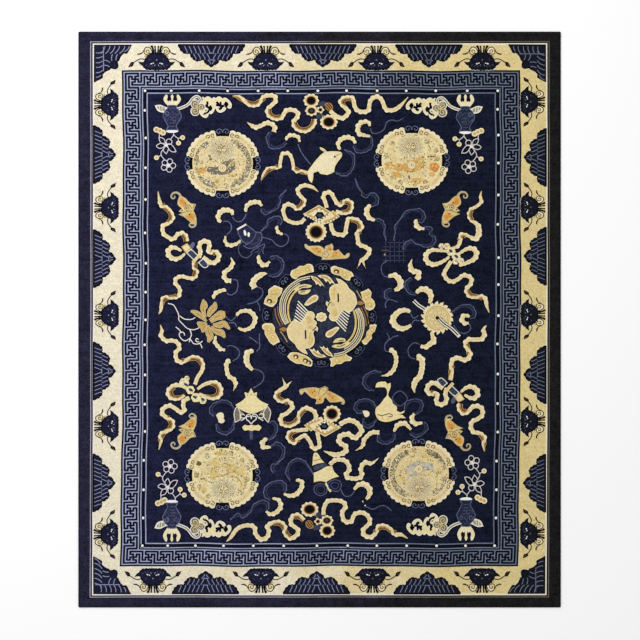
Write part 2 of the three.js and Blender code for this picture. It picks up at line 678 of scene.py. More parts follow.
def fret_is_light(column, row):
    """Whether the fret's blue wool fills this square, counted from the fret's outer corner."""
    column = min(column, FRET_COLUMNS - 1 - column)
    row = min(row, FRET_ROWS - 1 - row)
    repeat = len(FRET_CHART)
    if column >= FRET_BAND and row >= FRET_BAND:
        return False
    if row == FRET_BAND:
        return column in (0, 2, FRET_BAND - 1)
    if column < 4 and row < FRET_BAND:
        return row == 0 or column == 0 or (column == 2 and row >= 2) or (column == 3 and row == 2)
    if row < FRET_BAND:
        return FRET_CHART[(FRET_BAND + 1 - column) % repeat][row] == "#"
    return FRET_CHART[(row - FRET_BAND - 1) % repeat][column] == "#"


def make_ground():
    """The ground of the carpet: a thick closed sheet with its frames in their own wools."""
    bm = bmesh.new()
    bmesh.ops.create_grid(bm, x_segments=1, y_segments=1, size=1)
    bmesh.ops.scale(bm, vec=(HIGH.x - PILE_INSET, HIGH.y - PILE_INSET, 1), verts=bm.verts)
    bmesh.ops.translate(bm, vec=(0, 0, PILE_TOP), verts=bm.verts)
    corner = dict(offset=CORNER_RADIUS, offset_type="OFFSET", segments=4, profile=0.5, material=-1)
    bmesh.ops.bevel(bm, geom=bm.verts[:], affect="VERTICES", **corner)
    rim = [e for e in bm.edges if e.is_boundary]
    for inset, height in EDGE_PROFILE:
        made = bmesh.ops.extrude_edge_only(bm, edges=rim)["geom"]
        verts = [v for v in made if isinstance(v, bmesh.types.BMVert)]
        rim = [e for e in made if isinstance(e, bmesh.types.BMEdge)]
        share_x = (HIGH.x - inset) / max(v.co.x for v in verts)
        share_y = (HIGH.y - inset) / max(v.co.y for v in verts)
        bmesh.ops.scale(bm, vec=(share_x, share_y, 1), verts=verts)
        for v in verts:
            v.co.z = height
    bmesh.ops.contextual_create(bm, geom=rim)
    cuts = [((side * x, 0), (1, 0)) for _, x, _, _ in FRAMES[1:] for side in (-1, 1)]
    cuts += [((0, side * y), (0, 1)) for _, _, y, _ in FRAMES[1:] for side in (-1, 1)]
    cuts += [((x, 0), (1, 0)) for x in range(-GRID_HALF_X, GRID_HALF_X + 1, GRID_STEP)]
    cuts += [((0, y), (0, 1)) for y in range(-GRID_HALF_Y, GRID_HALF_Y + 1, GRID_STEP)]
    for (x, y), facing in cuts:
        everything = bm.verts[:] + bm.edges[:] + bm.faces[:]
        point = (x * SQUARE, y * SQUARE, 0)
        bmesh.ops.bisect_plane(bm, geom=everything, plane_co=point, plane_no=(*facing, 0))
    for face in bm.faces:
        centre = face.calc_center_median() / SQUARE
        for i, (_, x, y, _) in enumerate(FRAMES):
            if abs(centre.x) < x and abs(centre.y) < y:
                face.material_index = i
    for v in bm.verts:
        x, y = lean(v.co.x / SQUARE, v.co.y / SQUARE)
        v.co.xy = x * SQUARE, y * SQUARE
    bmesh.ops.recalc_face_normals(bm, faces=bm.faces)
    ground = finished("ground", bm, [each for *_, each in FRAMES])
    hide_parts("carpet")
    return ground


def fret_place(index, count, half, across):
    """Where a grid line of the fret lies: its band is a fixed width, and its repeats share the rest."""
    from_start = index - 0.5
    from_end = count - 1 - from_start
    nearest = min(from_start, from_end)
    inner = FRET_BAND - 1
    if nearest <= inner:
        place = half - nearest * across
    else:
        middle = (count - 1) / 2
        place = (half - inner * across) * (middle - nearest) / (middle - inner)
    return -place if from_start < from_end else place


def make_fret():
    """The key fret: the squares of the chart that are light, as one raised thread of wool."""
    sizes = bpy.context.scene.carpet_sizes
    bm = bmesh.new()
    bmesh.ops.create_grid(bm, x_segments=FRET_COLUMNS, y_segments=FRET_ROWS, size=1)
    dark = []
    for face in bm.faces:
        centre = face.calc_center_median()
        if not fret_is_light(int((centre.x + 1) / 2 * FRET_COLUMNS), int((1 - centre.y) / 2 * FRET_ROWS)):
            dark.append(face)
    bmesh.ops.delete(bm, geom=dark, context="FACES")
    for v in bm.verts:
        column = round((v.co.x + 1) / 2 * FRET_COLUMNS)
        row = round((v.co.y + 1) / 2 * FRET_ROWS)
        x = fret_place(column, FRET_COLUMNS, FRET_HALF_X, FRET_ACROSS_X)
        x, y = lean(x, fret_place(row, FRET_ROWS, FRET_HALF_Y, FRET_ACROSS_Y))
        v.co = x * SQUARE, y * SQUARE, PILE_TOP + 2 * sizes.layer_step
    thinner = {}
    for v in bm.verts:
        middle = sum((f.calc_center_median() for f in v.link_faces), Vector()) / len(v.link_faces)
        thinner[v] = v.co.lerp(middle, sizes.fret_thinning)
    for v, place in thinner.items():
        v.co = place
    sunk(bm)
    return finished("key_fret", bm, ["fret_blue"])


# Pearls along the top, bottom, left and right of their band, in chart squares along it
PEARLS_TOP = (-174.6, -148.4, -120.3, -91.9, -61.4, -31.8, -1.7, 27.0, 57.6, 86.7, 116.2, 147.7, 178.2)
PEARLS_FOOT = (-177.2, -151.9, -124.1, -96.0, -66.2, -35.9, -2.6, 28.2, 57.3, 87.1, 117.0, 146.0, 175.0)
PEARLS_LEFT = (
    209.2, 181.6, 151.8, 120.1, 86.7, 56.3, 27.4, -0.3, -25.2, -55.3, -84.6, -111.9, -140.7, -170.2, -198.4,
)
PEARLS_RIGHT = (
    210.2, 184.5, 156.5, 124.6, 95.2, 61.9, 35, 3.9, -24.3, -54.4, -84, -112.5, -141.5, -170.2, -198.4,
)
PEARL_HALF_X = 176.4
PEARL_HALF_Y = 227.5


def make_pearls():
    """The pearl guard: white dots on its dark band."""
    pile = Pile("pearls")
    radius = bpy.context.scene.carpet_sizes.pearl_radius
    places = [(x, lean(0, PEARL_HALF_Y)[1]) for x in PEARLS_TOP]
    places += [(x, lean(0, -PEARL_HALF_Y)[1]) for x in PEARLS_FOOT]
    places += [(lean(-PEARL_HALF_X, y)[0], y) for y in PEARLS_LEFT]
    places += [(lean(PEARL_HALF_X, y)[0], y) for y in PEARLS_RIGHT]
    for x, y in places:
        pile.fill(ring(x, y, radius, steps=10), "pearl", 2, halo=HALO)
    return pile.finish()


# The ivory border, seen with its outer line below: u runs along it and v goes in towards the field.
# Side, turn in degrees, mountains and flower heads along it, in chart squares
BORDER_SIDES = (
    ("top", 180, (-108.5, 2.9, 109.0), (-163.3, -54.2, 56.4, 162.3)),
    ("foot", 0, (-113.8, -2.7, 107.9), (-166.3, -58.3, 53.4, 162.8)),
    ("left", -90, (164.9, 60.8, -51.6, -163.4), (214.9, 111.8, 4.2, -106.7, -214.9)),
    ("right", 90, (161.6, 62.8, -55.7, -164.2), (217.2, 111.8, 4.4, -102.4, -214.6)),
)

SIDE_SQUEEZE = 0.87  # the motifs of the sides are drawn closer together than those of the ends
LEFT_SHIFT = 1.1  # how far out those of the left side stand

# Right half of a mountain: u, v and bulge, from its foot to its tip
MOUNTAIN_EDGE = (
    (33.4, 0, 0.1), (31, 3.4, 0.3), (28.6, 6.2, 0.3), (26, 8.2, 0.15), (22.4, 8, -0.1), (20.6, 10, 0.3),
    (18.4, 12.6, 0.3), (16, 15, 0.3), (12.8, 15.4, 0.2), (9.6, 14.4, 0), (6.6, 15.4, 0.25), (5.1, 18.6, 0.2),
    (2.8, 19.6, 0.1), (0, 22, 0),
)
# Rows of its scales, right half: foot and top of the row, where the first line stands, and how many lines
MOUNTAIN_ROWS = ((1.3, 8.2, 4.4, 6), (8.9, 14.6, 4.6, 4), (15.2, 19.2, 3.6, 1))
SCALE_PITCH = 4.5
SCALE_LEAN = 2.6
# Level lines across it: half length, height, width, wool and level
MOUNTAIN_STEPS = (
    (16.6, 8.6, 0.6, "scale_dim", 3),
    (2.3, 8.4, 0.8, "scale_blue", 4),
    (2.2, 15.2, 0.8, "scale_blue", 4),
)


def both_sides(rows):
    """A symmetric outline from its right half, which runs from the middle line or clear of it to it."""
    rows = list(rows)
    back = [(-rows[i][0], rows[i][1], rows[i - 1][2] if i else 0.0) for i in range(len(rows) - 1, -1, -1)]
    return [r for r in rows + back if r[0] != 0 or r in rows]


def draw_mountain(pile):
    """A border mountain: overlapping scales in three steps, its foot on the outer line."""
    body = arcs(both_sides(MOUNTAIN_EDGE))
    pile.fill(grown(body, 0.9), "ivory_line", 1)
    pile.fill(body, "hill_navy", 2)
    pile.line(body, 1.5, "shadow", 3, closed=True)
    for side in (-1, 1):
        for foot, top, start, count in MOUNTAIN_ROWS:
            for k in range(count):
                u = start + k * SCALE_PITCH
                scale = ((u, foot), (u - SCALE_LEAN, top - 1.0), (u - SCALE_LEAN + 0.6, top))
                pile.line(smooth([(side * a, b) for a, b in scale]), 0.75, "scale_blue")
    for half, v, width, name, level in MOUNTAIN_STEPS:
        pile.line([(-half, v), (half, v)], width, name, level)


# A corner mountain, half of it up to the diagonal: u, v and bulge
CORNER_EDGE = (
    (0, 0, 0), (37.2, 0, 0), (32.6, 7.4, 0.2), (29.8, 7.2, -0.1), (24.2, 15.2, 0), (22.6, 16.2, 0),
    (23.4, 20.2, 0.25),
)
# Lines between the scales of its foot, up to the diagonal: u and v of both ends, and bend
CORNER_LINES = (
    (7.5, 1.4, 6.4, 8.2, 0.1), (12.5, 1.4, 11, 8.4, 0.1), (17.4, 1.4, 15.6, 8.2, 0.12),
    (22, 1.4, 20.2, 8.2, 0.12), (27.4, 1.4, 25, 8.2, 0.12), (32, 1.4, 30, 6.4, 0.12),
    (15, 9.6, 17.4, 15.6, -0.1), (20, 9.6, 21.6, 15, -0.1),
)


CORNER_STEP = ((1.5, 9), (26, 9))  # the line along the top of its foot
CORNER_SHIFT = (-0.6, 3)  # the lines past the diagonal are not quite the mirror of those before it


def draw_corner_mountain(pile):
    """The quarter of a mountain that fills a corner of the border, its corner at 0, 0."""
    back = [(v, u, CORNER_EDGE[i - 1][2]) for i, (u, v, _) in reversed(list(enumerate(CORNER_EDGE)))]
    body = arcs([*CORNER_EDGE, *back[:-1]])
    pile.fill(grown(body, 0.9), "ivory_line", 1)
    pile.fill(body, "hill_navy", 2)
    pile.line(body, 1.4, "shadow", 3, closed=True)
    pile.line(CORNER_STEP, 0.8, "scale_blue")
    shift_u, shift_v = CORNER_SHIFT
    for u0, v0, u1, v1, bend in CORNER_LINES:
        pile.line(arcs([(u0, v0, bend), (u1, v1, 0)], False), 0.8, "scale_blue")
        pile.line(arcs([(v0 + shift_u, u0 + shift_v, -bend), (v1, u1, 0)], False), 0.8, "scale_blue")


def make_mountains():
    """Mountains along the outer line of the ivory border, and a quarter of one in each corner."""
    pile = Pile("border_mountains")
    half_x, half_y = half_sizes("border")
    for side, turn, places, _ in BORDER_SIDES:
        for along in places:
            with border_place(pile, side, turn, along):
                draw_mountain(pile)
    for turn, side_x, side_y in ((-90, -1, 1), (180, 1, 1), (0, -1, -1), (90, 1, -1)):
        with pile.at(*lean(side_x * (half_x - 0.2), side_y * (half_y - 0.2)), turn):
            draw_corner_mountain(pile)
    return pile.finish()


def border_place(pile, side, turn, along):
    """The drawing place on the outer line of the ivory border, at that distance along a side."""
    half_x, half_y = half_sizes("border")
    x, y = {"top": (along, half_y), "foot": (along, -half_y)}.get(side, (half_x, along))
    x, y = lean(-x - LEFT_SHIFT if side == "left" else x, y)
    squeeze = 1.0 if side in ("top", "foot") else SIDE_SQUEEZE
    return pile.at(x, y, turn, size=squeeze, tall=1 / squeeze)


# Right half of a flower head: u, v and bulge, from the neck round to the scalloped edge that faces the field
FLOWER_EDGE = (
    (2.4, 8.2, 0), (4.8, 8.8, 0.3), (7.6, 10.4, 0.3), (9.6, 12.8, 0.3), (11.2, 15.4, 0.1), (12.8, 17.6, 0),
    (15.4, 17.8, 0), (18.2, 16.8, 0), (16, 19.4, 0), (13.4, 21, 0.2), (11.4, 23.2, 0.35), (8.2, 23.9, 0.35),
    (5, 24.1, 0.35), (1.9, 23.5, 0.35),
)
# Marks on its petals, right half: u, v, radii, turn in degrees and wool
FLOWER_MARKS = (
    (5.4, 19, 1, 0.6, 20, "pearl"),
    (3.4, 18.4, 0.7, 0.5, 0, "pearl"),
    (2, 20.6, 1.2, 0.35, 60, "scale_blue"),
    (4.6, 21.6, 1.4, 0.35, 70, "scale_dim"),
    (7.4, 21.2, 1.4, 0.35, 50, "scale_dim"),
    (7, 14.6, 1.2, 0.35, 50, "scale_dim"),
    (10.2, 20.4, 1.4, 0.35, 30, "scale_dim"),
)
# Its tendril, curl, sprig and bud, right half: u and v
FLOWER_TENDRIL = ((4.8, 6.6), (6.6, 3.2), (10.2, 2.4), (12.6, 5.0), (14.2, 7.8), (16.6, 9.2), (19.2, 9.4))
FLOWER_CURL = ((12.2, 5.4), (12.4, 8.4), (10, 9.6), (7.6, 8), (8, 5.4), (10.2, 5.4), (10.4, 7.2), (9.2, 7.4))
FLOWER_SPRIG = ((11.2, 15.6), (13.6, 14.2), (17.2, 14.4), (20.6, 16.2), (23.2, 18.0))
FLOWER_BUD = ((22.4, 17.4, 1), (25.6, 17.4), (28.6, 22.4, 1), (24.0, 21.4))
FLOWER_BUD_VEIN = ((24.4, 18.8), (26.8, 21.2))
# The swollen tip of the tendril and the flaring stems: u, v and width
FLOWER_TIP = ((14.6, 8, 0.8), (17, 9.3, 1.5), (19.6, 9.3, 0.9))
FLOWER_STEMS = (
    ((5.4, 0.8, 2.6), (4, 3.2, 2), (3.4, 5.6, 2.2), (4.2, 9.4, 3)),
    ((1.9, 0.9, 1.8), (1.5, 3.6, 1.3), (1.3, 9, 2.2)),
)
# Pale wool behind the curl and a leaf: u, v, radii and turn
FLOWER_GLOW = (9.2, 6.4, 4.2, 3.8)
FLOWER_GLOW_MIDDLE = (9.8, 7, 2.8, 2.4)
FLOWER_LEAF = (10.6, 11, 1.8, 0.9, 35)


def draw_flower(pile):
    """A border flower head: dark petals, flaring stems, two tendrils and two sprigs with buds."""
    for mirror in (True, False):
        with pile.at(0, 0, mirror=mirror):
            pile.fill(ring(*FLOWER_GLOW), "ribbon_edge", 1)
            pile.fill(ring(*FLOWER_GLOW_MIDDLE), "cream_gold", 1.5)
            pile.line(smooth(FLOWER_TENDRIL), 0.95, "tendril_brown", 2)
            pile.strip(FLOWER_TIP, "shadow", 3)
            pile.line(smooth(FLOWER_CURL), 0.8, "tendril_brown", 2)
            pile.line(smooth(FLOWER_SPRIG), 1.0, "tendril_brown", 2)
            pile.fill(shape(FLOWER_BUD), "shadow", 3)
            pile.line(FLOWER_BUD_VEIN, 0.5, "bud_brown", 4)
            pile.fill(ring(*FLOWER_LEAF), "olive", 2)
            for stem in FLOWER_STEMS:
                pile.strip(stem, "shadow", 3)
    body = arcs(both_sides(FLOWER_EDGE))
    pile.fill(grown(body, 0.9), "ivory_line", 1)
    pile.fill(body, "hill_navy", 3)
    pile.line(body, 1.1, "shadow", 4, closed=True)
    for side in (-1, 1):
        for u, v, rx, ry, turn, name in FLOWER_MARKS:
            pile.fill(ring(side * u, v, rx, ry, side * turn, steps=10), name, 5)
    pile.fill(ring(0, 15.1, 0.8, 0.6, steps=10), "scale_blue", 5)


def make_flowers():
    """Flower heads between the mountains of the ivory border."""
    pile = Pile("border_flowers")
    for side, turn, _, places in BORDER_SIDES:
        for along in places:
            with border_place(pile, side, turn, along):
                draw_flower(pile)
    return pile.finish()


# Places in the field are in squares from the chart's upper left, and y runs down
CHART_MIDDLE = 319.55
FIELD = Matrix(((1, 0, -CHART_MIDDLE), (0, -1, CHART_MIDDLE), (0, 0, 1)))

# Ribbons: width and points, then for some the tapering ends (s is the start, e the end) and the brown
# stretches, each from one numbered point to another
RIBBONS = (
    # About the upper knot
    (4.8, ((232.7, 96), (239.3, 97), (248, 103.7), (253, 105.2), (258.2, 103.7), (263.8, 97), (269, 95.4),
     (274.5, 96.4), (275, 101.6), (268.6, 108.3), (267.9, 112.5), (270.4, 116.4), (276, 118.6), (281.8, 117),
     (285.7, 111.3), (291, 109.8), (296.5, 111.8), (297.6, 116), (293.9, 122), (295.4, 127.1), (300, 130.2),
     (306.1, 130.7), (311.2, 127.7), (314.3, 123.1), (314.8, 119)), "s", ((0, 5), (9, 13), (18, 24))),
    (4.8, ((330, 110.8), (336.1, 115.9), (342.2, 118), (346.8, 114.9), (347.9, 110.8), (341.7, 104.2),
     (341.2, 100.6), (345.6, 97.7), (352.5, 98.6), (354.5, 105.7), (357, 109.8), (361.6, 111.8),
     (368, 110.4), (369.8, 102.7), (372.3, 98.6), (377.5, 96.8), (382, 100.6), (385.6, 108.8),
     (391.2, 110.3), (396.3, 108.8), (401.4, 104.7), (408.1, 97)), "e", ((4.5, 8),)),
    (5.1, ((246.9, 122), (251, 125.1), (255.6, 127.1), (261.2, 125.6), (266.3, 123.1), (271.4, 124.1),
     (274.5, 127.1), (273.5, 131.7)), "s"),
    (4.2, ((286.2, 140.4), (287.8, 136.8), (292.3, 135.3), (298, 137.3), (299.5, 141.9))),
    (5.1, ((340.2, 149.6), (338.2, 144.5), (341.2, 139.4), (347.3, 137.3), (353, 139.4), (355, 143.5))),
    (5.1, ((370.3, 136.3), (364.7, 135.3), (359.1, 133.3), (358.1, 127.1), (361.6, 122.6), (367.8, 122),
     (369.8, 126.1))),
    # From the fish
    (4, ((307.6, 173), (301.8, 171.3), (296.4, 170.8), (293.8, 167.7), (292.2, 160), (289.3, 154.3),
     (285.7, 153.4), (282.1, 154.7), (280.6, 160.5), (279, 166.8), (274.1, 167.7), (268.8, 168.6),
     (265.6, 171.3), (262.9, 175.7), (261, 180.2)), "e", ((0, 3), (9, 15))),
    (4.4, ((318.3, 191.8), (313.4, 187.8), (308.9, 186), (304.5, 185.5), (300, 187.3), (297.8, 190.9),
     (300, 195.6), (303.8, 200), (302.7, 205.2), (297.8, 208.6), (293.8, 206.5), (290.2, 204.7),
     (285.7, 205.2), (283.3, 211), (285.7, 218.6), (290.2, 221.7), (295.5, 223), (300.9, 222.1),
     (304.9, 218.6)), "s", ((7, 9.5),)),
    (4.6, ((326.8, 207.9), (325.4, 202.5), (323.5, 196.5), (326, 193), (330.8, 193.2), (334.4, 198.9),
     (337.5, 203.4), (341.1, 204.3), (346, 200.8), (350.9, 202.9), (351.3, 207.9), (348.7, 211.9),
     (342.4, 213), (335.7, 211.4)), "", ((7, 12),)),
    (4.8, ((330.8, 223), (331.7, 228.4), (334.4, 232.9), (339.3, 234.6), (344.6, 233.8), (346.3, 227),
     (348.2, 219.9), (352.7, 219), (358.4, 221), (361.4, 227), (357.6, 232.9), (357.6, 238.2),
     (359.4, 244.2), (365.6, 247.1), (369.4, 251), (366.1, 257), (362.5, 259.6)), "", ((6, 10),)),
    (3.4, ((361.6, 258.6), (359.8, 263), (357.1, 268.4)), "e"),
    (3.4, ((362.4, 258.6), (363.6, 263.4), (365.8, 268.4)), "e"),
    # Down the left side
    (4.6, ((158, 191.4), (159.3, 199.6), (161.2, 205), (166.5, 207.6), (171, 212.4), (172.4, 218.4),
     (168.5, 223), (163, 226.2), (163.4, 233), (167.4, 236.8), (173.1, 238.9), (177.6, 234.6),
     (182.6, 233.4), (186, 236.8), (186.8, 241.4)), "s", ((2, 6), (12, 14))),
    (4.3, ((194.5, 261.8), (194, 266.9), (196.5, 272), (194, 277.6), (188.4, 278), (182, 276.5),
     (176.5, 278.4), (175.6, 283.2), (179.6, 289.2), (178.2, 296), (171.4, 297.7), (164, 297.8),
     (161.6, 304), (160.8, 310), (158.6, 314.3)), "e", ((0, 3), (9, 12))),
    (4.6, ((160.3, 324.8), (161.8, 330.4), (161.3, 336), (165.9, 340.6), (172, 340.6), (177.1, 342.7),
     (179.2, 347.8), (175.9, 353), (176.8, 359.6), (181.8, 362), (187, 359.7), (192.8, 357.3), (199.6, 359),
     (202.8, 365.1), (201.6, 371.2), (197.6, 377.3), (195, 384.5)), "s", ((9, 13),)),
    (4.8, ((189.4, 397.8), (184.3, 400.8), (183.3, 405.9), (184, 410.8), (179.8, 411.8), (175.5, 408.6),
     (169.5, 405.8), (163.6, 408.4), (162.4, 413.4), (166.6, 417.6), (172, 421.2), (172, 427.4),
     (166.2, 431.4), (161, 434.8), (160.8, 441.6), (158.8, 449.8)), "e", ((9, 14),)),
    # About the canopy and the lotus
    (4.3, ((240.6, 240), (237.5, 243.1), (233, 244.9), (228.6, 244.9), (225.4, 241.4), (225.4, 236))),
    (5.7, ((221, 222.1), (218.3, 218.6), (219.2, 214.1), (222.3, 211), (226.8, 210.1), (231.3, 211.4),
     (232.6, 215))),
    (5.1, ((246, 211.8), (246.4, 207), (250, 203.4), (254.5, 202.1), (258.9, 202.7), (261.6, 206.1))),
    (3.6, ((277.7, 225.7), (277, 229.3), (279.5, 232.9), (282.8, 233.8))),
    (5.1, ((258.9, 255.2), (258.9, 259.6), (261.6, 263.7), (265.6, 265), (269.6, 261.4))),
    (5.1, ((230.4, 257), (232.6, 262.3), (230.2, 268), (225.6, 271.6), (224.3, 276.1), (226.6, 279.9),
     (231.2, 280.7)), "s"),
    (4.6, ((226.2, 290.7), (222.8, 290.3), (217.4, 292.2), (214.4, 295.2), (213.6, 299.1))),
    (4.6, ((215.9, 335.8), (215.1, 341.2), (217.4, 345.7), (221.3, 349.2), (225.1, 349.6))),
    (5.1, ((230.4, 361), (227, 362.6), (226.6, 368.7), (228.6, 375.6), (233.8, 379.8), (235.4, 385),
     (233.2, 390.9)), "e"),
    (5.1, ((236.6, 315.9), (238.9, 312.8), (243.5, 310.9), (249.4, 311.5), (253.8, 315.4), (254.9, 320.5),
     (252.2, 326.2), (247.4, 329.2), (242.7, 329.7), (238.1, 327.8))),
    (6.9, ((267.2, 273.7), (262.6, 274.2), (256.5, 277.7), (253, 283), (254.9, 288)), "s"),
    (6.7, ((253.6, 351.1), (248.4, 352.2), (246.5, 357.5), (247.6, 364.2), (252.8, 370.2))),
    # Down the right side
    (3.8, ((481.5, 191), (480.4, 196), (481, 201.6), (477.1, 206), (471.2, 209.5), (469, 214.6),
     (470.6, 219.4), (474.6, 222.6)), "s", ((4, 6.5),)),
    (6.6, ((473.6, 221.6), (477.6, 225.2), (478.8, 230), (478.4, 234.6), (475.2, 238.8), (470.4, 236.8))),
    (4.6, ((471.6, 238), (466.6, 235.2), (461, 235.2), (460.2, 240.6), (457.6, 246.2), (451, 248.6)), "",
     ((1, 3),)),
    (4.6, ((451.2, 261.1), (447.3, 267.2), (444.3, 273.6), (447.3, 279.5), (452.7, 281.4), (458.4, 279),
     (463.6, 275.4), (470.6, 277.8), (470.6, 283.6), (466.6, 289.4), (469.2, 295.4), (475, 297),
     (482.5, 296.8), (485.6, 300), (486.8, 306), (489.2, 312.6)), "e", ((9, 12),)),
    (5, ((486.5, 325.4), (483.6, 329.4), (484.3, 334.3), (481.6, 338.8), (475.4, 339.6), (468.4, 339.8),
     (465.5, 344), (468, 349.8), (470, 354), (467.6, 358.8), (462.9, 359.7), (458.4, 358), (453, 359.7),
     (451.1, 365.6), (451.7, 371.8), (450.4, 380.4)), "s", ((6, 8), (13, 17))),
    (4.8, ((459.5, 403.4), (459.2, 408.4), (463, 413), (468.2, 411.4), (472, 407.4), (477, 406.1),
     (481.6, 408.6), (482.2, 414.8), (477.6, 419), (472.4, 421.6), (471, 427), (473.6, 431.8),
     (479.6, 433.4), (484.2, 437.6), (483.4, 444.6), (484.4, 451.2)), "e", ((0, 3), (12, 16))),
    # About the endless knot and the wheel
    (5.7, ((375, 220.2), (369.6, 217.9), (366.8, 212.8), (368, 207.6), (371, 205.6))),
    (5.1, ((416.3, 219.3), (416.1, 223.6), (418.6, 227.6), (424.4, 228.8))),
    (6.7, ((388.4, 276.5), (394.1, 275.4), (398.2, 278.2), (400.5, 283.2), (399, 287.8), (394.4, 290.2))),
    (5.9, ((412.1, 258.8), (410.4, 265), (412.4, 270.8), (417.4, 271.9), (418.6, 275.6),
     (416.3, 279.2)), "s"),
    (6.5, ((416.4, 293.2), (420, 289.8), (425.4, 289.6), (429.8, 293), (430.9, 298), (429.4, 303.4))),
    (6.7, ((410.2, 312), (405.7, 310.2), (399.8, 311.3), (395, 315.4), (393, 320.4), (395.6, 325.6),
     (400.6, 328.4), (406, 327.9), (411.1, 325.2))),
    (6.1, ((431.6, 331.6), (432.7, 336.6), (433.8, 340.4), (430.5, 343.6), (425.6, 346.8), (420.5, 345.9))),
    (6.7, ((416.6, 357.5), (420.9, 358.2), (422.3, 364), (421.6, 370.6), (419.6, 376.5), (415.4, 381.2),
     (413.8, 387.4), (414.7, 392.8)), "e"),
    (5.1, ((469.6, 316.7), (464.6, 315.6), (462, 319), (464.4, 323), (468.6, 322.9))),
    (5.1, ((389.2, 349.9), (393.4, 351.8), (396, 357.6), (395.6, 364.4), (392.8, 370.6), (387.6, 374.7),
     (380.8, 376)), "e"),
    # About the lower lozenges
    (3.6, ((282.3, 378), (284.4, 383), (285.9, 387.6)), "s"),
    (3.6, ((291.7, 381.2), (288.6, 384), (285.5, 388)), "s"),
    (4.8, ((286, 386.6), (278.6, 391.4), (276, 396.4), (280.4, 400.8), (288.4, 401.6), (292.2, 406.8),
     (287.6, 412.6), (281.2, 416.8), (282.2, 423.4), (289.6, 425.6), (297.2, 421.4), (299.8, 413),
     (305.6, 408.4), (312.6, 410.4), (315.6, 415), (315.4, 420.4)), "", ((1, 4), (8, 12))),
    (4.6, ((308.2, 429.4), (299.4, 430.2), (290.4, 432.3), (288.4, 438), (293.4, 442.6), (298.2, 438.9),
     (304.6, 435.8), (309.6, 441), (313.4, 448.2), (319.2, 446), (318.4, 438), (317.1, 432)), "", ((1, 5),)),
    (5.7, ((339.5, 424.5), (348.4, 420.4), (356.6, 423), (361.3, 430.7), (355, 437.6), (348.4, 434.4),
     (341, 436), (339.5, 442), (345.4, 446.6), (344.6, 452), (336.6, 454.8), (330, 453.4),
     (323.4, 450.8)), "e"),
    (5.1, ((355.1, 450.8), (362, 446.4), (364.7, 439), (371.6, 432.8), (379.6, 432.5)), "s"),
    (5.3, ((393.9, 431.6), (397.5, 425.4), (404.6, 423.6), (411.3, 429.8))),
    (5.3, ((422.5, 422.7), (415, 423.4), (411.9, 418.6), (414.4, 413.6))),
    # At the foot of the field
    (4.8, ((226.3, 541.6), (230.6, 537.6), (235.7, 530.4), (240.8, 526.8), (248, 525.3), (254.1, 527.3),
     (255.8, 534), (260.7, 539.1), (266.8, 537.2), (268.7, 531), (267.6, 526.2), (272.6, 522.8),
     (279.6, 522.3), (284.4, 526.3), (285.2, 533.4), (290.8, 538.1), (296.8, 534.7), (297.6, 529.6),
     (291.2, 523.6), (292.4, 517), (298.4, 515.4), (304.1, 520.2)), "s", ((11, 15), (19, 23))),
    (4.8, ((323.5, 515.1), (324, 508), (327.6, 501.6), (335, 500.3), (342.3, 501.8), (345.3, 506.4),
     (342.2, 513), (344.6, 520.8), (351, 521.2), (354.6, 514.6), (361.6, 512.6), (367.8, 516.1),
     (369.6, 522.6), (363.6, 529.6), (364.4, 535), (370.8, 537), (375.8, 532.8), (378.6, 526.8),
     (384.6, 526), (390.4, 529.2), (395, 534), (401.4, 534.8), (408, 538.6)), "e", ((16, 20),)),
    (5.4, ((267.4, 438.6), (263.2, 441.6), (263.4, 446.6), (270.8, 447.2))),
    # About the conch
    (5.3, ((295.9, 480.4), (301.2, 481.4), (301.3, 488), (296.4, 494), (289.8, 495.7), (283.7, 493.7))),
    (5.1, ((272.4, 498.3), (278.4, 500.2), (280.5, 506.4), (276.3, 512.2), (270.4, 514.1), (266.3, 511))),
    (6.1, ((354, 489.6), (358.6, 485), (364.9, 484.6), (369.4, 489.4), (369.2, 495), (366.2, 499.3))),
    (5.1, ((329.6, 464.6), (336.4, 459.8), (345.4, 461), (349.2, 468.4), (346.2, 476), (354.4, 478.7),
     (361.4, 476), (361, 468.6), (364.6, 462.9), (372, 463), (378.8, 457.9)), "e"),
)

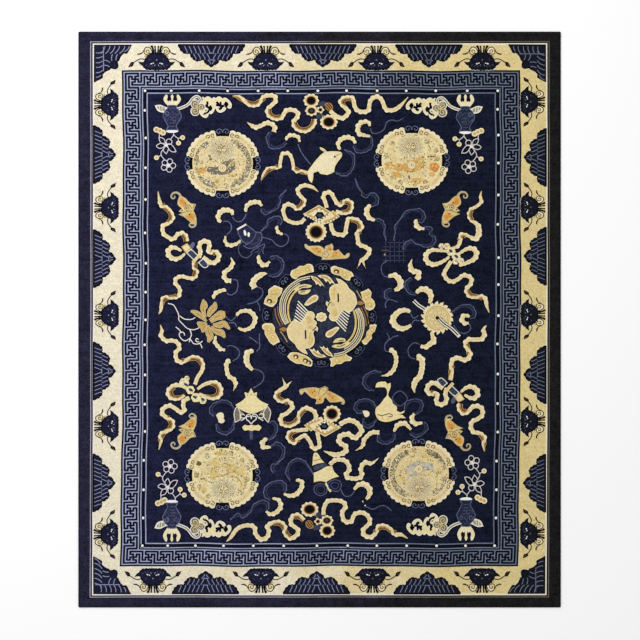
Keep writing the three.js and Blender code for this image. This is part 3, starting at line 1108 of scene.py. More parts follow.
# Threads: the stretches of the ribbons that show their blue side. Width, and points
THREADS = (
    # About the upper knot and the fish
    (2.6, (270.8, 132.4), (267.8, 138), (270.4, 146), (276.5, 147.4), (282.2, 145.6), (285.6, 142.2)),
    (0, (298, 144), (300.5, 150.6), (305.1, 157.8), (310.7, 164.4)),
    (2.6, (354, 145.5), (357.6, 151), (364.7, 151), (370.3, 147), (371.3, 141), (370.3, 136.3)),
    (0, (370.3, 128.2), (372.8, 133.3), (379.6, 132.4), (384.4, 128.6), (386.6, 122.6), (391.6, 120),
     (397.6, 121), (403.5, 118)),
    (2.6, (343.8, 149.8), (351.8, 154.3), (353.6, 161.4), (351.8, 168.6), (347.3, 173.5), (342, 174.4),
     (335.7, 172.1)),
    # About the canopy
    (2.6, (260.7, 231.1), (266.1, 225.7), (269.6, 220.4), (275.9, 217.7), (280.2, 219.4), (279, 224.4)),
    (0, (284.2, 233.6), (288.2, 236.4), (287.4, 243), (281.4, 246.5), (276, 244.4), (271.4, 239.8),
     (262.5, 237.3)),
    (0, (226.6, 234.8), (230.8, 230.4), (231.2, 225.2), (228, 221.6), (223.4, 221.4)),
    (0, (232.6, 217.2), (236.2, 221.2), (241, 221.4), (244.2, 218), (246.4, 213.8)),
    (2.6, (262.4, 208.4), (264.7, 212.8), (271, 211), (276.8, 207), (279.8, 201), (281.2, 196.4),
     (286.4, 190)),
    (2.6, (270.5, 258.8), (275.4, 257.4), (281, 260.6), (282.4, 266.6), (279.4, 272.8), (274.4, 275.4),
     (268.4, 274.4)),
    (0, (232.7, 279.6), (237, 280.6), (237.8, 287), (235.6, 292.4), (230.6, 295), (227, 293)),
    (0, (258, 287.2), (262, 289.2), (262.8, 294), (259.6, 298.8), (253.6, 302.6), (247.3, 304)),
    (0, (256.8, 301.4), (259.4, 306), (259.9, 311)),
    # About the lotus
    (0, (226.6, 346.5), (231.2, 345.6), (236.8, 348), (239.6, 352.8), (237.8, 357.6), (232.6, 361)),
    (0, (235.8, 316.7), (231.8, 320.5), (227.6, 318.8), (225.9, 316.3)),
    (0, (236.6, 327), (234.6, 323), (228.9, 322.8)),
    (0, (259.5, 333.5), (259.3, 340.4), (259.7, 347.3), (256.4, 351.3)),
    (0, (249.2, 336.9), (254.2, 340.2), (258, 343.4)),
    (0, (254.2, 369), (259.4, 370.4), (263.6, 374.4), (263, 380.6), (258.2, 385.2), (253, 388)),
    # About the endless knot
    (2.6, (386.6, 240.9), (384.8, 233.8), (383.7, 225.7), (380.2, 220.8), (374.6, 220)),
    (2.6, (370.7, 205.4), (376, 203.2), (376.7, 198), (372.8, 194.4), (365, 196), (361.6, 191.8),
     (358, 185.5), (355.4, 178.4)),
    (2.6, (393.8, 240.9), (395, 233), (396.4, 225.7), (400.9, 218.6), (406.3, 212.5), (412.9, 210.3),
     (420, 210.8), (423.6, 216), (421.6, 220.8), (416.6, 220.2)),
    (2.6, (424, 228.4), (430, 228.6), (431.2, 234), (434.2, 239), (431.8, 244), (425.6, 245.9),
     (417.4, 243.9), (410.2, 241.8), (405.6, 245), (404, 250)),
    (0, (388.4, 260.1), (382.3, 264.3), (381.2, 270), (383.6, 275.4), (388.8, 277.6)),
    (2.6, (391.8, 289.6), (386.9, 291.6), (386.1, 296), (389, 299.7)),
    (0, (388.6, 299.2), (385.2, 303.6), (386.1, 308.2)),
    (0, (388.6, 299.4), (392.9, 300.2), (398, 302.3)),
    # About the wheel
    (2.6, (412, 278.6), (407.5, 281.8), (406.6, 287.2), (410, 292.2), (415.8, 294.4)),
    (0, (410.6, 313.4), (413.6, 318.2), (418.6, 315.3)),
    (0, (411.6, 324.2), (414.4, 320.2), (419.4, 320.9)),
    (0, (419.6, 344.4), (414.4, 342.8), (409.8, 346.2), (407.9, 351), (410, 357), (415, 359)),
    (2.6, (451.6, 313.2), (456.4, 309.2), (462.4, 306.2), (469.3, 306.3), (473.3, 310), (474, 315.4),
     (469.6, 317.2)),
    (0, (468.8, 323.6), (470.9, 327.4), (468, 332), (462.8, 333.4), (457.4, 330.6), (453.6, 325)),
    (0, (387, 333.2), (389.2, 338.4), (385.2, 344), (385.2, 350.6), (388.4, 351.6)),
    (0, (398.6, 335.6), (393.4, 336.8), (389.2, 340)),
    (2.6, (381.4, 372.7), (373.5, 372.2), (366, 376.6), (364.4, 383), (368, 388.2), (374.6, 390.1)),
    # About the umbrella and the vase
    (2.6, (234, 409), (228.6, 402.9), (221.6, 401.5), (213.8, 405), (211.1, 411), (214.9, 415)),
    (2.6, (216.9, 423.6), (218.8, 430.4), (226, 433), (232, 428.6), (233.8, 420.8)),
    (2.6, (266.8, 422.3), (274, 423.4), (276, 429.4), (273.4, 435.8), (268.2, 439.6)),
    (2.6, (270.6, 447), (277.4, 443.8), (283, 448.4), (282.4, 456.4), (277.4, 462.4), (272.4, 467),
     (274.7, 472.3)),
    (2.6, (378.8, 433.8), (379.4, 440.4), (385.9, 442.6), (392.4, 439.4), (394.4, 433.6)),
    (2.6, (410.4, 432.6), (415.6, 435.6), (422, 433.4), (426.5, 427.6), (423.4, 422.8)),
    (2.6, (415.2, 413.8), (420.4, 409.4), (420.9, 402.9), (414.9, 400.3), (407.5, 402.7), (405.1, 409.3)),
    (2.6, (375.7, 408.2), (372.1, 402.9), (365.9, 400.2), (358.8, 402), (355.6, 407.3), (357.9, 411.3),
     (362.3, 411.3)),
    (2.6, (363.7, 418), (364.6, 424.3), (367.7, 426.1), (372.1, 424.3), (376.2, 418.9)),
    # About the conch
    (2.6, (313.3, 474.8), (309, 467.8), (303.6, 461.8), (296.4, 460.1), (290, 464.4), (287.2, 472.6),
     (290.2, 480.2)),
    (2.6, (284.1, 491.4), (284.8, 485.9), (279.6, 481.9), (271.4, 483.5), (265.9, 488.7), (265.9, 495.5),
     (270.9, 499.2)),
    (2.6, (267.2, 509.6), (267, 503.6), (261.6, 501.9), (254.8, 505.1), (249.6, 511.7), (243.4, 516),
     (237.2, 515.3), (230.2, 520)),
    (0, (340.8, 489.6), (344.7, 495.9), (350.9, 495.5), (354.6, 490.8)),
    (0, (366.4, 506.8), (373.2, 509.2), (379.8, 506), (385.6, 506), (391.6, 510.9)),
)


def make_ribbons():
    """The ribbons that wind through the field."""
    pile = Pile("ribbons", FIELD)
    for width, *points in THREADS:
        pile.thread(width, points)
    for row in RIBBONS:
        pile.ribbon(*row)
    return pile.finish()


# Emblems of the field: kind, wool, size and points of each row, as Pile.draw takes them
FISH = (
    ("shape", "cream_gold", 0.9, ((342, 152.9, 1), (339.3, 151.6), (333, 151.2), (326.8, 151.6, 1),
     (324.5, 149), (321.5, 147.6), (319.6, 147.2, 1), (320.8, 149.8), (324.6, 152, 1), (321, 154.6),
     (317.9, 157.9), (313.4, 163.2), (307.4, 171.6, 1), (301.5, 170.4, 1), (303.5, 172.6), (307.6, 174.4, 1),
     (308.6, 179.5), (311.6, 183, 1), (313.1, 179), (313.4, 173, 1), (318.3, 171.2, 1), (320.5, 173.8),
     (324.1, 174.4, 1), (327, 175, 1), (331, 173.6, 1), (334.4, 171.7, 1), (334.6, 168.5), (335.3, 165.9, 1),
     (338.4, 161), (341, 157.9), (342, 155))),
    ("inner", "ribbon_edge", 1.2),
    ("line", "bud_brown", 0.5, ((341.6, 153.4), (338.8, 154.6), (337.2, 156))),
    ("line", "gold", 0.6, ((337.6, 152.6), (336.4, 156.6), (337.2, 160.4))),
    ("dots", "tendril_brown", 1.1, ((334.8, 156.7),)),
)
KNOT_LOBE = (
    ("shape", "slate", 0, ((-2.8, -8.4), (2.8, -9.6), (4.8, -6.4), (0.4, -3.8), (-2.4, -5)), ((-6.2, 4.2),
     (-2.4, 3.4), (1.4, 5.2), (0.4, 8), (-3.8, 7.6))),
    ("shape", "ribbon_tan", 0.6, ((3.4, -6.6), (7, -8.4), (10.8, -6.2), (11.4, -1.8), (8.2, 0.4),
     (4.6, -1.6))),
    ("line", "tendril_brown", 0.8, ((5, -6.6), (7.6, -3.8), (9.8, -0.8)), ((6.8, -7.6), (8.8, -5.4),
     (10.6, -2.6)), ((3.9, -4.6), (6, -2.4), (7.6, -0.2))),
    ("line", "stone", 0.9, ((-2, 2), (1.6, 4.8), (2.4, 7))),
)
# The flat knots' loops, middle and ring, and the loops beside the lozenges: middle, radii, share of the
# hole, and level
KNOT_LOOPS = (
    (-10.2, -10.2, 7.4, 6.8, 0.5, 3),
    (7.4, 11.2, 8.5, 7.2, 0.52, 3),
    (-9.9, 0, 6, 5, 0.48, 4),
)
KNOT_MIDDLE = (-1, -1, 3.4, 3.2, 0.36, 5)
KNOT_RING = (-9.9, 0, 1.7, 1.5)
LOZENGE_LOOPS = ((316.1, 232, 10.2, 9.8, 0.5, 1.5), (331.9, 413.8, 8.6, 8.2, 0.52, 1.5))
# Two stacked lozenges, round the middle between them
LOZENGES = (
    ("shape", "cream_gold", 0.9, ((0, 5.4, 1), (2.7, 9.6, 1), (11, 7, 1), (20.3, 1.1, 1), (13.4, -5.1, 1))),
    ("line", "gold", 1.6, ((4, 7.2, 1), (12.6, 4.4, 1), (17.6, 0.8, 1), (12.8, -3.4, 1))),
    ("line", "ribbon_tan", 0.6, ((4, 6.2, 1), (12.6, 3.2, 1), (16, 0.6, 1), (12.8, -2.2, 1))),
    ("shape", "cream_gold", 0.9, ((-16.7, -1.3, 1), (-0.8, -10.4, 1), (12.1, -3.1, 1), (-0.8, 7.8, 1))),
    ("rim", "gold", 2.2, ((-13.2, -1.5, 1), (-0.6, -8, 1), (8.8, -3.1, 1), (-0.8, 4.8, 1))),
    ("line", "ribbon_tan", 0.7, ((-13.2, -2.2, 1), (-0.6, -8.8, 1), (9.2, -3.2, 1), (0.4, 5.6, 1))),
    ("shape", "ribbon_edge", 0, ((-7.4, -1, 1), (-3, -5.4), (3, -5.4), (6.6, -1.6, 1), (0.6, 4.2),
     (-3, 3.8))),
    ("shape", "shadow", 0, ((-4.8, 0, 1), (-2.2, -3.4, 1), (2.8, -3.4, 1), (5, 0, 1), (2.2, 3.4, 1),
     (-2.6, 3.4, 1))),
    ("shape", "slate", 0, ((-2.6, 0), (0, -1.8), (2.8, 0), (0, 1.8))),
)
MIXED_BEADS = ("pearl", "stone", "pearl", "slate")
# Beads along the lozenges' edges: the line they follow, how many, radius, wools and level
LOZENGE_BEADS = (
    (((-14.6, 0.2, 1), (-0.8, 6.2, 1), (9.4, -1.2, 1)), 19, 0.62, MIXED_BEADS, 7),
    (((-6.8, -0.2, 1), (-1.4, 4, 1), (5.6, 1.2, 1)), 8, 0.6, MIXED_BEADS, 7),
    (((5, 8, 1), (12.6, 5.2, 1), (18.4, 1.4, 1)), 10, 0.62, MIXED_BEADS, 4),
    (((-4.6, -4.6, 1), (0, -6, 1), (5.4, -3.6, 1)), 6, 0.55, MIXED_BEADS, 7),
)
UPPER_BAT = (
    ("shape", "leaf_grey", 0.9, ((-22.3, -8.3), (-20.4, -8.4), (-18.5, -6.6, 1), (-13, -6.8), (-8, -6.9),
     (-4.6, -5.6), (-2.4, -3.2, 1), (-1.2, -6.6), (2, -7.6), (5, -9.2, 1), (6.6, -6.4), (6.2, -2.6, 1),
     (8.6, -1.8), (11.4, -3.2), (13.6, -1), (17.6, 3), (20.2, 0.8), (22.8, 0.6), (22.6, 3.6), (19.6, 6),
     (11.6, 6.5), (2.7, 7.3), (-5.6, 7.3, 1), (-5, 4.6), (-10.7, 2.7), (-16.1, -0.9), (-21.4, -4.5))),
    ("inner", "gold_pale", 0.75),
    ("shape", "orange_pale", 0, ((-15.6, -4.8), (-8, -5), (-4.4, -1.6), (-6, 2), (-11.4, 0)), ((5.8, 0),
     (10.4, -1.4), (14.4, 3.2), (9.6, 5.2), (5, 4.6)), ((0.6, -5), (3.8, -6.6), (5, -2.4), (1, -1.2))),
    ("rim", "stone", 0.5, ((-4.4, 2), (-1, -1.2), (2.2, 2), (-1, 5.2))),
    ("rim", "petal", 0.5, ((-3, 2), (-1, 0.2), (1, 2), (-1, 3.8))),
    ("dots", "orange", 1.1, ((-10.6, -3.6), (2.6, -4), (9, 2.6), (-13.4, -3.6))),
    ("dots", "ribbon_brown", 0.6, ((-8, -1), (6.8, 3.4), (-9.6, -4.2), (9.4, 0.2), (3.4, -3.2),
     (-2.2, 1.4))),
)
LOWER_BAT = (
    ("shape", "leaf_grey", 0.9, ((299.3, 390.1), (303.8, 388.3), (314.5, 387.2), (318.9, 388.3, 1),
     (325.2, 385.9, 1), (328.1, 387.9), (327.9, 390.5, 1), (334.1, 393.2), (342.1, 397.7), (345, 401.3),
     (343.9, 404.4), (341, 404, 1), (341.6, 401.8), (336, 402.4), (329.6, 402.4, 1), (325.2, 397.7),
     (323.4, 402.1), (320.7, 403.7), (315.2, 404.1, 1), (316.3, 399.5), (311.8, 398), (308.2, 395),
     (304.6, 391.9), (302.4, 394.4), (300.4, 394.4))),
    ("inner", "gold_pale", 0.75),
    ("shape", "orange_pale", 0, ((306.8, 389.4), (314, 389), (317.6, 392), (315, 397), (310.6, 395.2)),
     ((327.4, 391.6), (333, 394.4), (338.6, 399.4), (333, 401.4), (328.2, 398.6)), ((317.6, 397.4),
     (322.4, 396), (321.8, 401.8), (317, 403))),
    ("shape", "gold_pale", 0, ((319.2, 394.4), (320.6, 389.2), (325.6, 387.6), (326.4, 391.4),
     (322.6, 395))),
    ("line", "stone", 0.6, ((318.6, 394.8), (320, 389), (325.8, 387), (327, 391.2), (322.8, 395.6))),
    ("dots", "orange", 1, ((311.6, 391.6), (331.4, 396.6), (319.8, 399.4))),
    ("dots", "ribbon_brown", 0.6, ((319.6, 399.2), (329.6, 394.2), (312.6, 393), (332.6, 398),
     (314.6, 391.4))),
)
SIDE_BAT = (
    ("taper", "leaf_grey", 2.4, ((5.6, 13.6), (9, 16.8), (13.4, 16.4), (15.4, 13.2), (13.8, 11), (11.6, 12),
     (12.2, 14))),
    ("taper", "leaf_grey", 2.2, ((-9.4, -12), (-8.6, -16), (-5.2, -17.6), (-2.8, -15.6), (-4.2, -13.6),
     (-5.8, -14.8))),
    ("shape", "leaf_grey", 0.6, ((-4.9, -13.8, 1), (-3, -11.9), (2.4, -7.4, 1), (8.2, -4.9, 1), (4.5, -3, 1),
     (8.1, -2, 1), (4.7, 1.2, 1), (8.7, 4.6), (8.9, 8.6), (7.9, 11.6, 1), (7, 14.4, 1), (3.5, 13),
     (0.6, 11.2), (-3.9, 6.7), (-9.7, 5.6, 1), (-7, -1, 1), (-9.3, -5.8), (-10.1, -10.9), (-8.3, -14.8))),
    ("inner", "gold_pale", 0.55),
    ("shape", "orange_pale", 0, ((-0.4, 5.4), (2, 10), (5.4, 12.4), (7.6, 9.4), (7, 5.4), (3.6, 2.8))),
    ("shape", "orange", 0, ((2, 5.6), (3.2, 9.4), (6.2, 9.8), (6.4, 6.6), (4.2, 4.6))),
    ("shape", "orange_pale", 0, ((-8.4, -11), (-7.6, -5), (-4.6, -3), (-1, -4.6), (1, -7.2), (-4, -11.6))),
    ("shape", "orange", 0, ((-6.6, -9.6), (-5.8, -5.8), (-3, -5), (-1.8, -7.6))),
    ("line", "stone", 0.6, ((-8.2, 4.8), (-5.6, 1), (-3.2, 4.2), (1.6, 4.6)), ((-5.8, -1.4), (-1.6, -1.6),
     (3.2, -3), (6.6, -4.4))),
    ("rim", "stone", 0.6, ((-2.6, 1.5), (-0.3, -0.9), (2, 1.5), (-0.3, 3.8))),
    ("dots", "ribbon_brown", 0.75, ((-3, -4.8), (1.1, 6.4), (-0.3, 1.5), (4.4, -0.8))),
)
UPPER_BAT_PLACE = (326.8, 252.5)
SIDE_BAT_PLACES = (
    (455, 433, False, 1),
    (452, 209, False, -1),
    (186.5, 431.4, True, 1),
    (186.5, 209.6, True, -1),
)

BOW_WIDTH = 5.4  # width of the ribbon of a bow
CLOVER_WIDTH = 4.9
CLOVER_SHADES = ((7, 8.5),)

# The yellow-ended tube in its bow, and its loops, round the middle of the left one
TUBE = (
    ("shape", "ivory_line", 0.8, ((-8.6, -3, 1), (-3.2, -7, 1), (5.6, 1.4, 1), (-0.2, 5.2, 1))),
    ("inner", "slate", 0.8),
    ("shape", "gold", 0, ((-13.3, -9.2, 1), (-7.2, -12.7, 1), (-2.7, -7.3, 1), (-8.9, -2.8, 1))),
    ("shape", "cream_gold", 0, ((-12, -8.8, 1), (-7.4, -11.4, 1), (-4.4, -7.4, 1), (-8.8, -4.2, 1))),
    ("shape", "ivory_line", 0.8, ((3.4, 6.8, 1), (9.2, 12.2), (13.4, 11), (13.5, 7.9), (8.8, 2.4, 1))),
    ("inner", "slate", 0.8),
    ("line", "cream_gold", 3, ((7, -2.2), (2.4, 2.4), (-1.8, 7))),
    ("line", "gold", 0.7, ((6.4, -1), (2.2, 3), (-1.4, 6.8))),
    ("shape", "thread_blue", 0, ((-4.4, -10.4), (-1.6, -13.8), (0.4, -11.6), (-1.4, -7.6), (-3.2, -7.2))),
)
TUBE_LEFT_LOOP = (
    (-9.4, -2.2), (-14.2, 1.8), (-19.4, 3.2), (-24.6, 0.8), (-26.2, -4.4), (-22.6, -8), (-17.8, -7.4),
    (-13, -4.6),
)
TUBE_CLOVER = (
    (4.6, 2.1), (5.8, -4), (4.9, -9.6), (7.4, -13.6), (12, -14.2), (15, -11.2), (14.2, -7.2), (15.2, -3.4),
    (19.4, -3.8), (23.6, -2), (23.9, 2.2), (21.4, 5.8), (17, 7), (12, 4), (8.4, 1.4),
)

# The bows with round lobes, round their middles: two loops, lobes and dark spots
LEFT_BOW = (
    ((-5, -2), (-10, -4.9), (-17, -5), (-22.4, 0), (-22, 4.6), (-18.8, 7.4), (-13, 7.9), (-6.6, 4.6)),
    ((6, -1.4), (12.2, -5.8), (19.2, -7.9), (25.6, -6.8), (29, -1), (27.4, 4.9), (21.4, 7.4), (14, 5.9),
     (7.4, 3)),
    ((-7.3, -7.8, 4.8), (-4.6, -12.2, 2.6), (-1, -0.6, 4.2), (4.4, 7, 4.6), (11.4, 9.8, 3.6)),
    ((-5.5, -6), (-0.6, -0.6), (3.4, 6.5), (11.5, 8.8)),
)
RIGHT_BOW = (
    ((-4, -2.1), (-12.3, -3), (-19.4, -3.4), (-24.3, -0.7), (-26.1, 3.7), (-23.9, 8.6), (-18.5, 10.9),
     (-12.3, 9.5), (-6, 6), (-2.6, 3)),
    ((5, 2), (11.9, -3), (17.2, -5.1), (22.1, -4.1), (24.4, 0.1), (22.3, 5.3), (16.7, 8.5), (11.1, 10.9),
     (7.1, 12)),
    ((-10.5, -7.4, 2.8), (-5.1, -7.2, 3.2), (3.8, 7.8, 3.2), (9.1, 7.3, 3), (-1.1, -2.1, 4.4),
     (4.3, 3.3, 4.2)),
    ((-1.1, -2.5), (4.3, 2.8)),
)

LOBE_MIX = ("stone_pale", "pearl", "stone", "pearl")

# Petals of the lotus and its open lobes: x, y and width
LOTUS_PETALS = (
    ((206.7, 321.3, 1), (200.6, 315.9, 4.2), (195.2, 312.5, 4.2), (190.6, 311, 0.8)),
    ((205.6, 317.4, 1.2), (203.1, 309.8, 4.5), (204.2, 305.2, 6.5), (203, 299.4, 0.8)),
    ((208.3, 316.7, 2.2), (210.6, 311.3, 5.4), (214.4, 306.7, 5.4), (215.1, 301.8, 0.8)),
    ((210.2, 321.3, 4), (215.9, 317.4, 6), (221.3, 315, 8.5), (225.4, 314.4, 4.5)),
    ((212.8, 324.7, 1.8), (219, 325.1, 5.4), (224.3, 323.9, 5.6), (229.6, 329.2, 1.2)),
    ((210.6, 326.6, 1.6), (215.9, 331.2, 4.6), (221.3, 332.7, 6), (224.9, 337.7, 1.2)),
    ((208.3, 325.1, 1.6), (208.3, 331.2, 5.4), (210.2, 336.6, 6.1), (208.1, 342.3, 1.4)),
    ((206.7, 322.8, 1.6), (202.1, 325.1, 7), (197.2, 322.2, 1.2)),
    ((206.4, 324.4, 1.6), (203.4, 328.6, 4.6), (203, 332.4, 1.4)),
)
# Layers of a petal: extra width, wool, level and halo
LOTUS_LAYERS = ((0.6, "cream_gold", 4, 0.5), (-0.4, "olive_dark", 5, 0), (-1, "gold", 6, 0))
STEM_SHADOW = 2.6  # width of the shadow wool along a stem
LOTUS_STEMS = (
    ((168, 303.4), (173.1, 304.8), (175.7, 308.3), (178.8, 315.1), (178.8, 319.7), (183, 324.3),
     (187.6, 328.5), (193.7, 329.7), (199.1, 327.8)),
    ((179.9, 315.9), (184.5, 319), (191.4, 319.4), (195.2, 317.4)),
    ((189.9, 329.7), (191.4, 334.3), (190.3, 338.1), (189.3, 342.1)),
    ((190.3, 338.1), (185.3, 340.8), (181.5, 338.9), (179.2, 335), (180.7, 332), (184, 333), (184.5, 335.4)),
    ((175.7, 327), (179.2, 329.7), (181.5, 332.9)),
    ((190.7, 339.6), (193.7, 343.5), (198.3, 343.8), (202.5, 341.1)),
    ((199.1, 341.9), (196, 341.2), (196.4, 338.5), (198.6, 339.4)),
    ((199.8, 343.6), (201.2, 345.4), (202.1, 348.2)),
)

WHEEL = (437.4, 317.9)
WHEEL_RINGS = ((13.8, "cream_gold"), (12.2, "olive"), (11.3, "cream_gold"), (10.6, "olive"), (9.9, "ribbon"))
WHEEL_HUB = 1.9
WHEEL_TEETH = 18
WHEEL_SPOKES = 8
SPOKE_REACH = 5.8  # from the middle of the wheel to the middle of a spoke
STICK_BEHIND = ((413.6, 300.6), (419, 305.6), (426.2, 310))
STICK_BEFORE = ((439, 318.6), (444.4, 323.8), (451.4, 328.6), (459.5, 336.7))

# The endless knot: its upper left crossing, the squares between its strands, and how many each way
ENDLESS_KNOT = (385.6, 242.4)
ENDLESS_PITCH = 4.5
ENDLESS_STRANDS = 5
ENDLESS_GAP = 1.1  # from a crossing to where the lower strand stops
ENDLESS_TASSEL = (
    ("line", "olive_dark", 0.7, ((381.6, 250.4), (388.4, 250.2))),
    ("dots", "leaf_grey", 0.9, ((384.8, 254.6),)),
)

CANOPY = (
    ("shape", "thread_fill", 0, ((237.1, 229.3, 1), (246, 224.4, 1), (255.8, 232, 1), (260.7, 232.9),
     (262.1, 237.3), (260.7, 241.8), (256, 246.6), (250, 248), (246.4, 243.6), (242.4, 240.9),
     (239.3, 235.5))),
    ("line", "thread_blue", 0.9, ((246, 224.4, 1), (255.8, 232, 1), (260.7, 232.9), (262.1, 237.3),
     (260.7, 241.8)), ((237.1, 229.3, 1), (239.3, 235.5), (242.4, 240.9), (246.4, 243.6))),
    ("line", "ivory_line", 1.7, ((237.1, 229.6, 1), (246.2, 224.3, 1))),
    ("shape", "pearl", 0, ((243.6, 231), (245, 230), (246.2, 232.6), (246.2, 235.2), (244.8, 235.6),
     (243.9, 233.4)), ((247.8, 232.6), (249.6, 232.8), (249.8, 235), (249, 237), (247.6, 235.8))),
    ("line", "thread_blue", 0.8, ((256.2, 232.4), (254.2, 238), (250.2, 242.4), (245, 245)), ((243, 245.4),
     (249, 248.4), (256, 246.6), (260.6, 242))),
    ("line", "thread_dim", 0.8, ((246.6, 241), (252, 244.4), (257.6, 242.4), (259.6, 237))),
    ("line", "thread_blue", 0.8, ((242.6, 242), (239, 245.6), (238.6, 251.2), (241.6, 256.2), (247.6, 257.6),
     (252.2, 253.4)), ((250.2, 252.6), (256, 248.6), (264.4, 244), (262.8, 250.6), (263.6, 254.2))),
    ("line", "thread_dim", 0.8, ((252, 251), (254.6, 247.6), (258.6, 247.2), (258.2, 250.8), (254.6, 252.6)),
     ((258.2, 254.4), (261.2, 250.4), (262.2, 247))),
)
UMBRELLA = (
    ("shape", "ribbon_edge", 0.7, ((216, 415.4, 1), (218.6, 412.8), (222.6, 412.8), (224, 416),
     (223.4, 418.4, 1), (224.8, 420.8), (222.4, 423.2), (218.8, 422.4), (218.2, 419.6, 1))),
    ("line", "thread_dim", 3.2, ((251.2, 431), (251.2, 439.4))),
    ("shape", "stone", 0.6, ((237.2, 406, 1), (234.1, 412.6), (235.2, 422.4, 1), (240.6, 420.4, 1),
     (243.6, 413, 1))),
    ("rim", "ivory_line", 0.8, ((237.2, 406, 1), (234.1, 412.6), (235.2, 422.4, 1), (240.2, 419.6, 1),
     (240, 412, 1))),
    ("shape", "stone", 0.6, ((267.2, 406, 1), (270.7, 412.4), (268.2, 422.4, 1), (262.6, 417.6, 1),
     (259.6, 413, 1))),
    ("rim", "ivory_line", 0.8, ((267.2, 406, 1), (270.7, 412.4), (268.2, 422.4, 1), (264.2, 418, 1),
     (263.6, 412, 1))),
    ("shape", "cream_gold", 0.9, ((247.4, 395.2, 1), (255.4, 395.2, 1), (260.4, 400.6), (268.4, 404.4, 1),
     (264.8, 408.8), (259, 411.6), (252, 413.8), (245, 411.8), (238.6, 408.2), (235.4, 404.8, 1),
     (242.6, 400.4))),
    ("line", "ribbon", 0.7, ((238.4, 405.4), (245.2, 409.6), (252, 411.4), (259, 409.4), (265.6, 405.4))),
    ("shape", "cream_gold", 0.9, ((245.6, 396.6, 1), (244.6, 392.4), (248.4, 393.4, 1), (251.1, 388.1, 1),
     (253.8, 393.4, 1), (257, 392.4), (256.2, 396.6, 1))),
    ("dots", "gold", 1, ((251.1, 394.4), (247.4, 395), (254.8, 395))),
    ("line", "ivory_line", 0.9, ((244.6, 417.8), (241.6, 418), (240.4, 415.6), (242.4, 413.8),
     (244.8, 415.4)), ((259, 417.2), (261.8, 418), (263.8, 415.8), (261.6, 413.4), (259.2, 415))),
    ("line", "ivory_line", 1, ((249.6, 416.6), (247, 416.4), (246.4, 419), (249, 421.4), (251.2, 424)),
     ((252.8, 416.6), (255.6, 416.4), (256.2, 419), (253.4, 421.4), (251.2, 424))),
    ("line", "ivory_line", 0.9, ((241, 420.6), (244.4, 418.6), (247.6, 414.6), (250.4, 415.2), (251.2, 419)),
     ((263.4, 420.6), (259, 418.2), (256, 414.4), (252.4, 415.2), (251.2, 419))),
    ("shape", "cream_gold", 0.9, ((242.2, 427.4), (244.8, 424.7, 1), (248, 425.6, 1), (251.5, 424.7, 1),
     (255, 425.6, 1), (258.6, 424.7, 1), (261.4, 427.4), (259, 430.8, 1), (255, 430, 1), (251.5, 431, 1),
     (248, 430, 1), (244.6, 430.8, 1))),
)
JAR = (
    ("rim", "thread_blue", 0.8, ((392.2, 398.4), (399.8, 390.8), (407.4, 398.4), (399.8, 406))),
    ("shape", "ribbon_edge", 0.7, ((362.4, 410.8, 1), (366.4, 410.6), (369.2, 412.4), (369, 415.6),
     (366, 417.2), (364, 415))),
    ("shape", "cream_gold", 0.9, ((375.4, 387.6, 1), (376.6, 383.4), (380, 381.8), (385.4, 381.6, 1),
     (387.6, 384, 1), (390.6, 382.8, 1), (390.6, 387), (388.6, 392.6), (388.6, 396.2), (391.8, 400),
     (393, 403.6), (396.7, 406.4), (396.8, 411, 1), (401, 412.2), (404.9, 410, 1), (403.4, 413),
     (398.6, 414.2, 1), (402.6, 415, 1), (405.8, 418.3, 1), (400.6, 418, 1), (394, 420.2), (386.4, 422),
     (379, 420), (375.7, 414.8), (375.8, 408.4), (379.8, 404.4), (384, 398.8), (386.8, 395.4), (387, 391),
     (385.2, 387.6), (380, 387.2))),
    ("line", "tendril_brown", 0.8, ((377.4, 414.4), (381, 415.6), (384.8, 414.8), (388.6, 413.8),
     (392, 414.6), (391.6, 416.8), (388.8, 416.4))),
    ("line", "gold", 0.7, ((381.6, 416), (383, 418.4), (382.6, 420)), ((386.6, 415.6), (388.4, 417.6),
     (387.6, 419.8))),
    ("line", "gold", 0.6, ((387.6, 383.6), (387, 386.6), (387.2, 389.6))),
)
CONCH = (
    ("shape", "cream_gold", 0.9, ((313, 456.6), (314.2, 453), (317.2, 453), (319.4, 456), (321, 459),
     (324.4, 462.6, 1), (318.4, 463.4), (312.2, 465.6, 1), (312.8, 460))),
    ("dots", "gold", 1.2, ((316, 455.8),)),
    ("line", "ribbon_tan", 0.8, ((313.4, 460.4), (317, 460), (321.4, 458.8))),
    ("shape", "slate", 0.5, ((313.6, 466.4), (319, 464.6), (325.2, 463), (327.4, 466.2), (321, 468.4),
     (314.6, 470.6))),
    ("dots", "thread_blue", 1.2, ((317, 467.6), (322.2, 465.8))),
    ("dots", "shadow", 0.7, ((317, 467.6), (322.2, 465.8))),
    ("shape", "cream_gold", 0.9, ((313.8, 472.6, 1), (317.6, 471.4), (322, 469), (327, 466.4),
     (332.2, 466.2, 1), (334.2, 471.6), (339, 476.4, 1), (332, 478.6), (326, 482, 1), (320, 481),
     (313.8, 482.4, 1))),
    ("line", "cream_gold", 1.8, ((325.6, 482.6), (327.8, 487.4), (330.7, 491.8))),
    ("rim", "thread_blue", 0.8, ((314.6, 486.6), (320.6, 483.4), (326.6, 487), (326.2, 492.6),
     (320.6, 495.8), (314.8, 492.4))),
    ("rim", "thread_dim", 0.8, ((317, 487.4), (320.6, 485.6), (324.4, 488), (324, 491.8), (320.6, 493.6),
     (317.2, 491.4))),
    ("rim", "thread_blue", 0.8, ((328.4, 483), (334.4, 479.8), (340.4, 481.8), (340.8, 487.8),
     (336.6, 491.4), (329.8, 488.8))),
    ("rim", "thread_dim", 0.8, ((331, 484), (334.6, 482.4), (338.4, 483.8), (338, 487.2), (335.4, 488.8),
     (331.6, 487.2))),
)
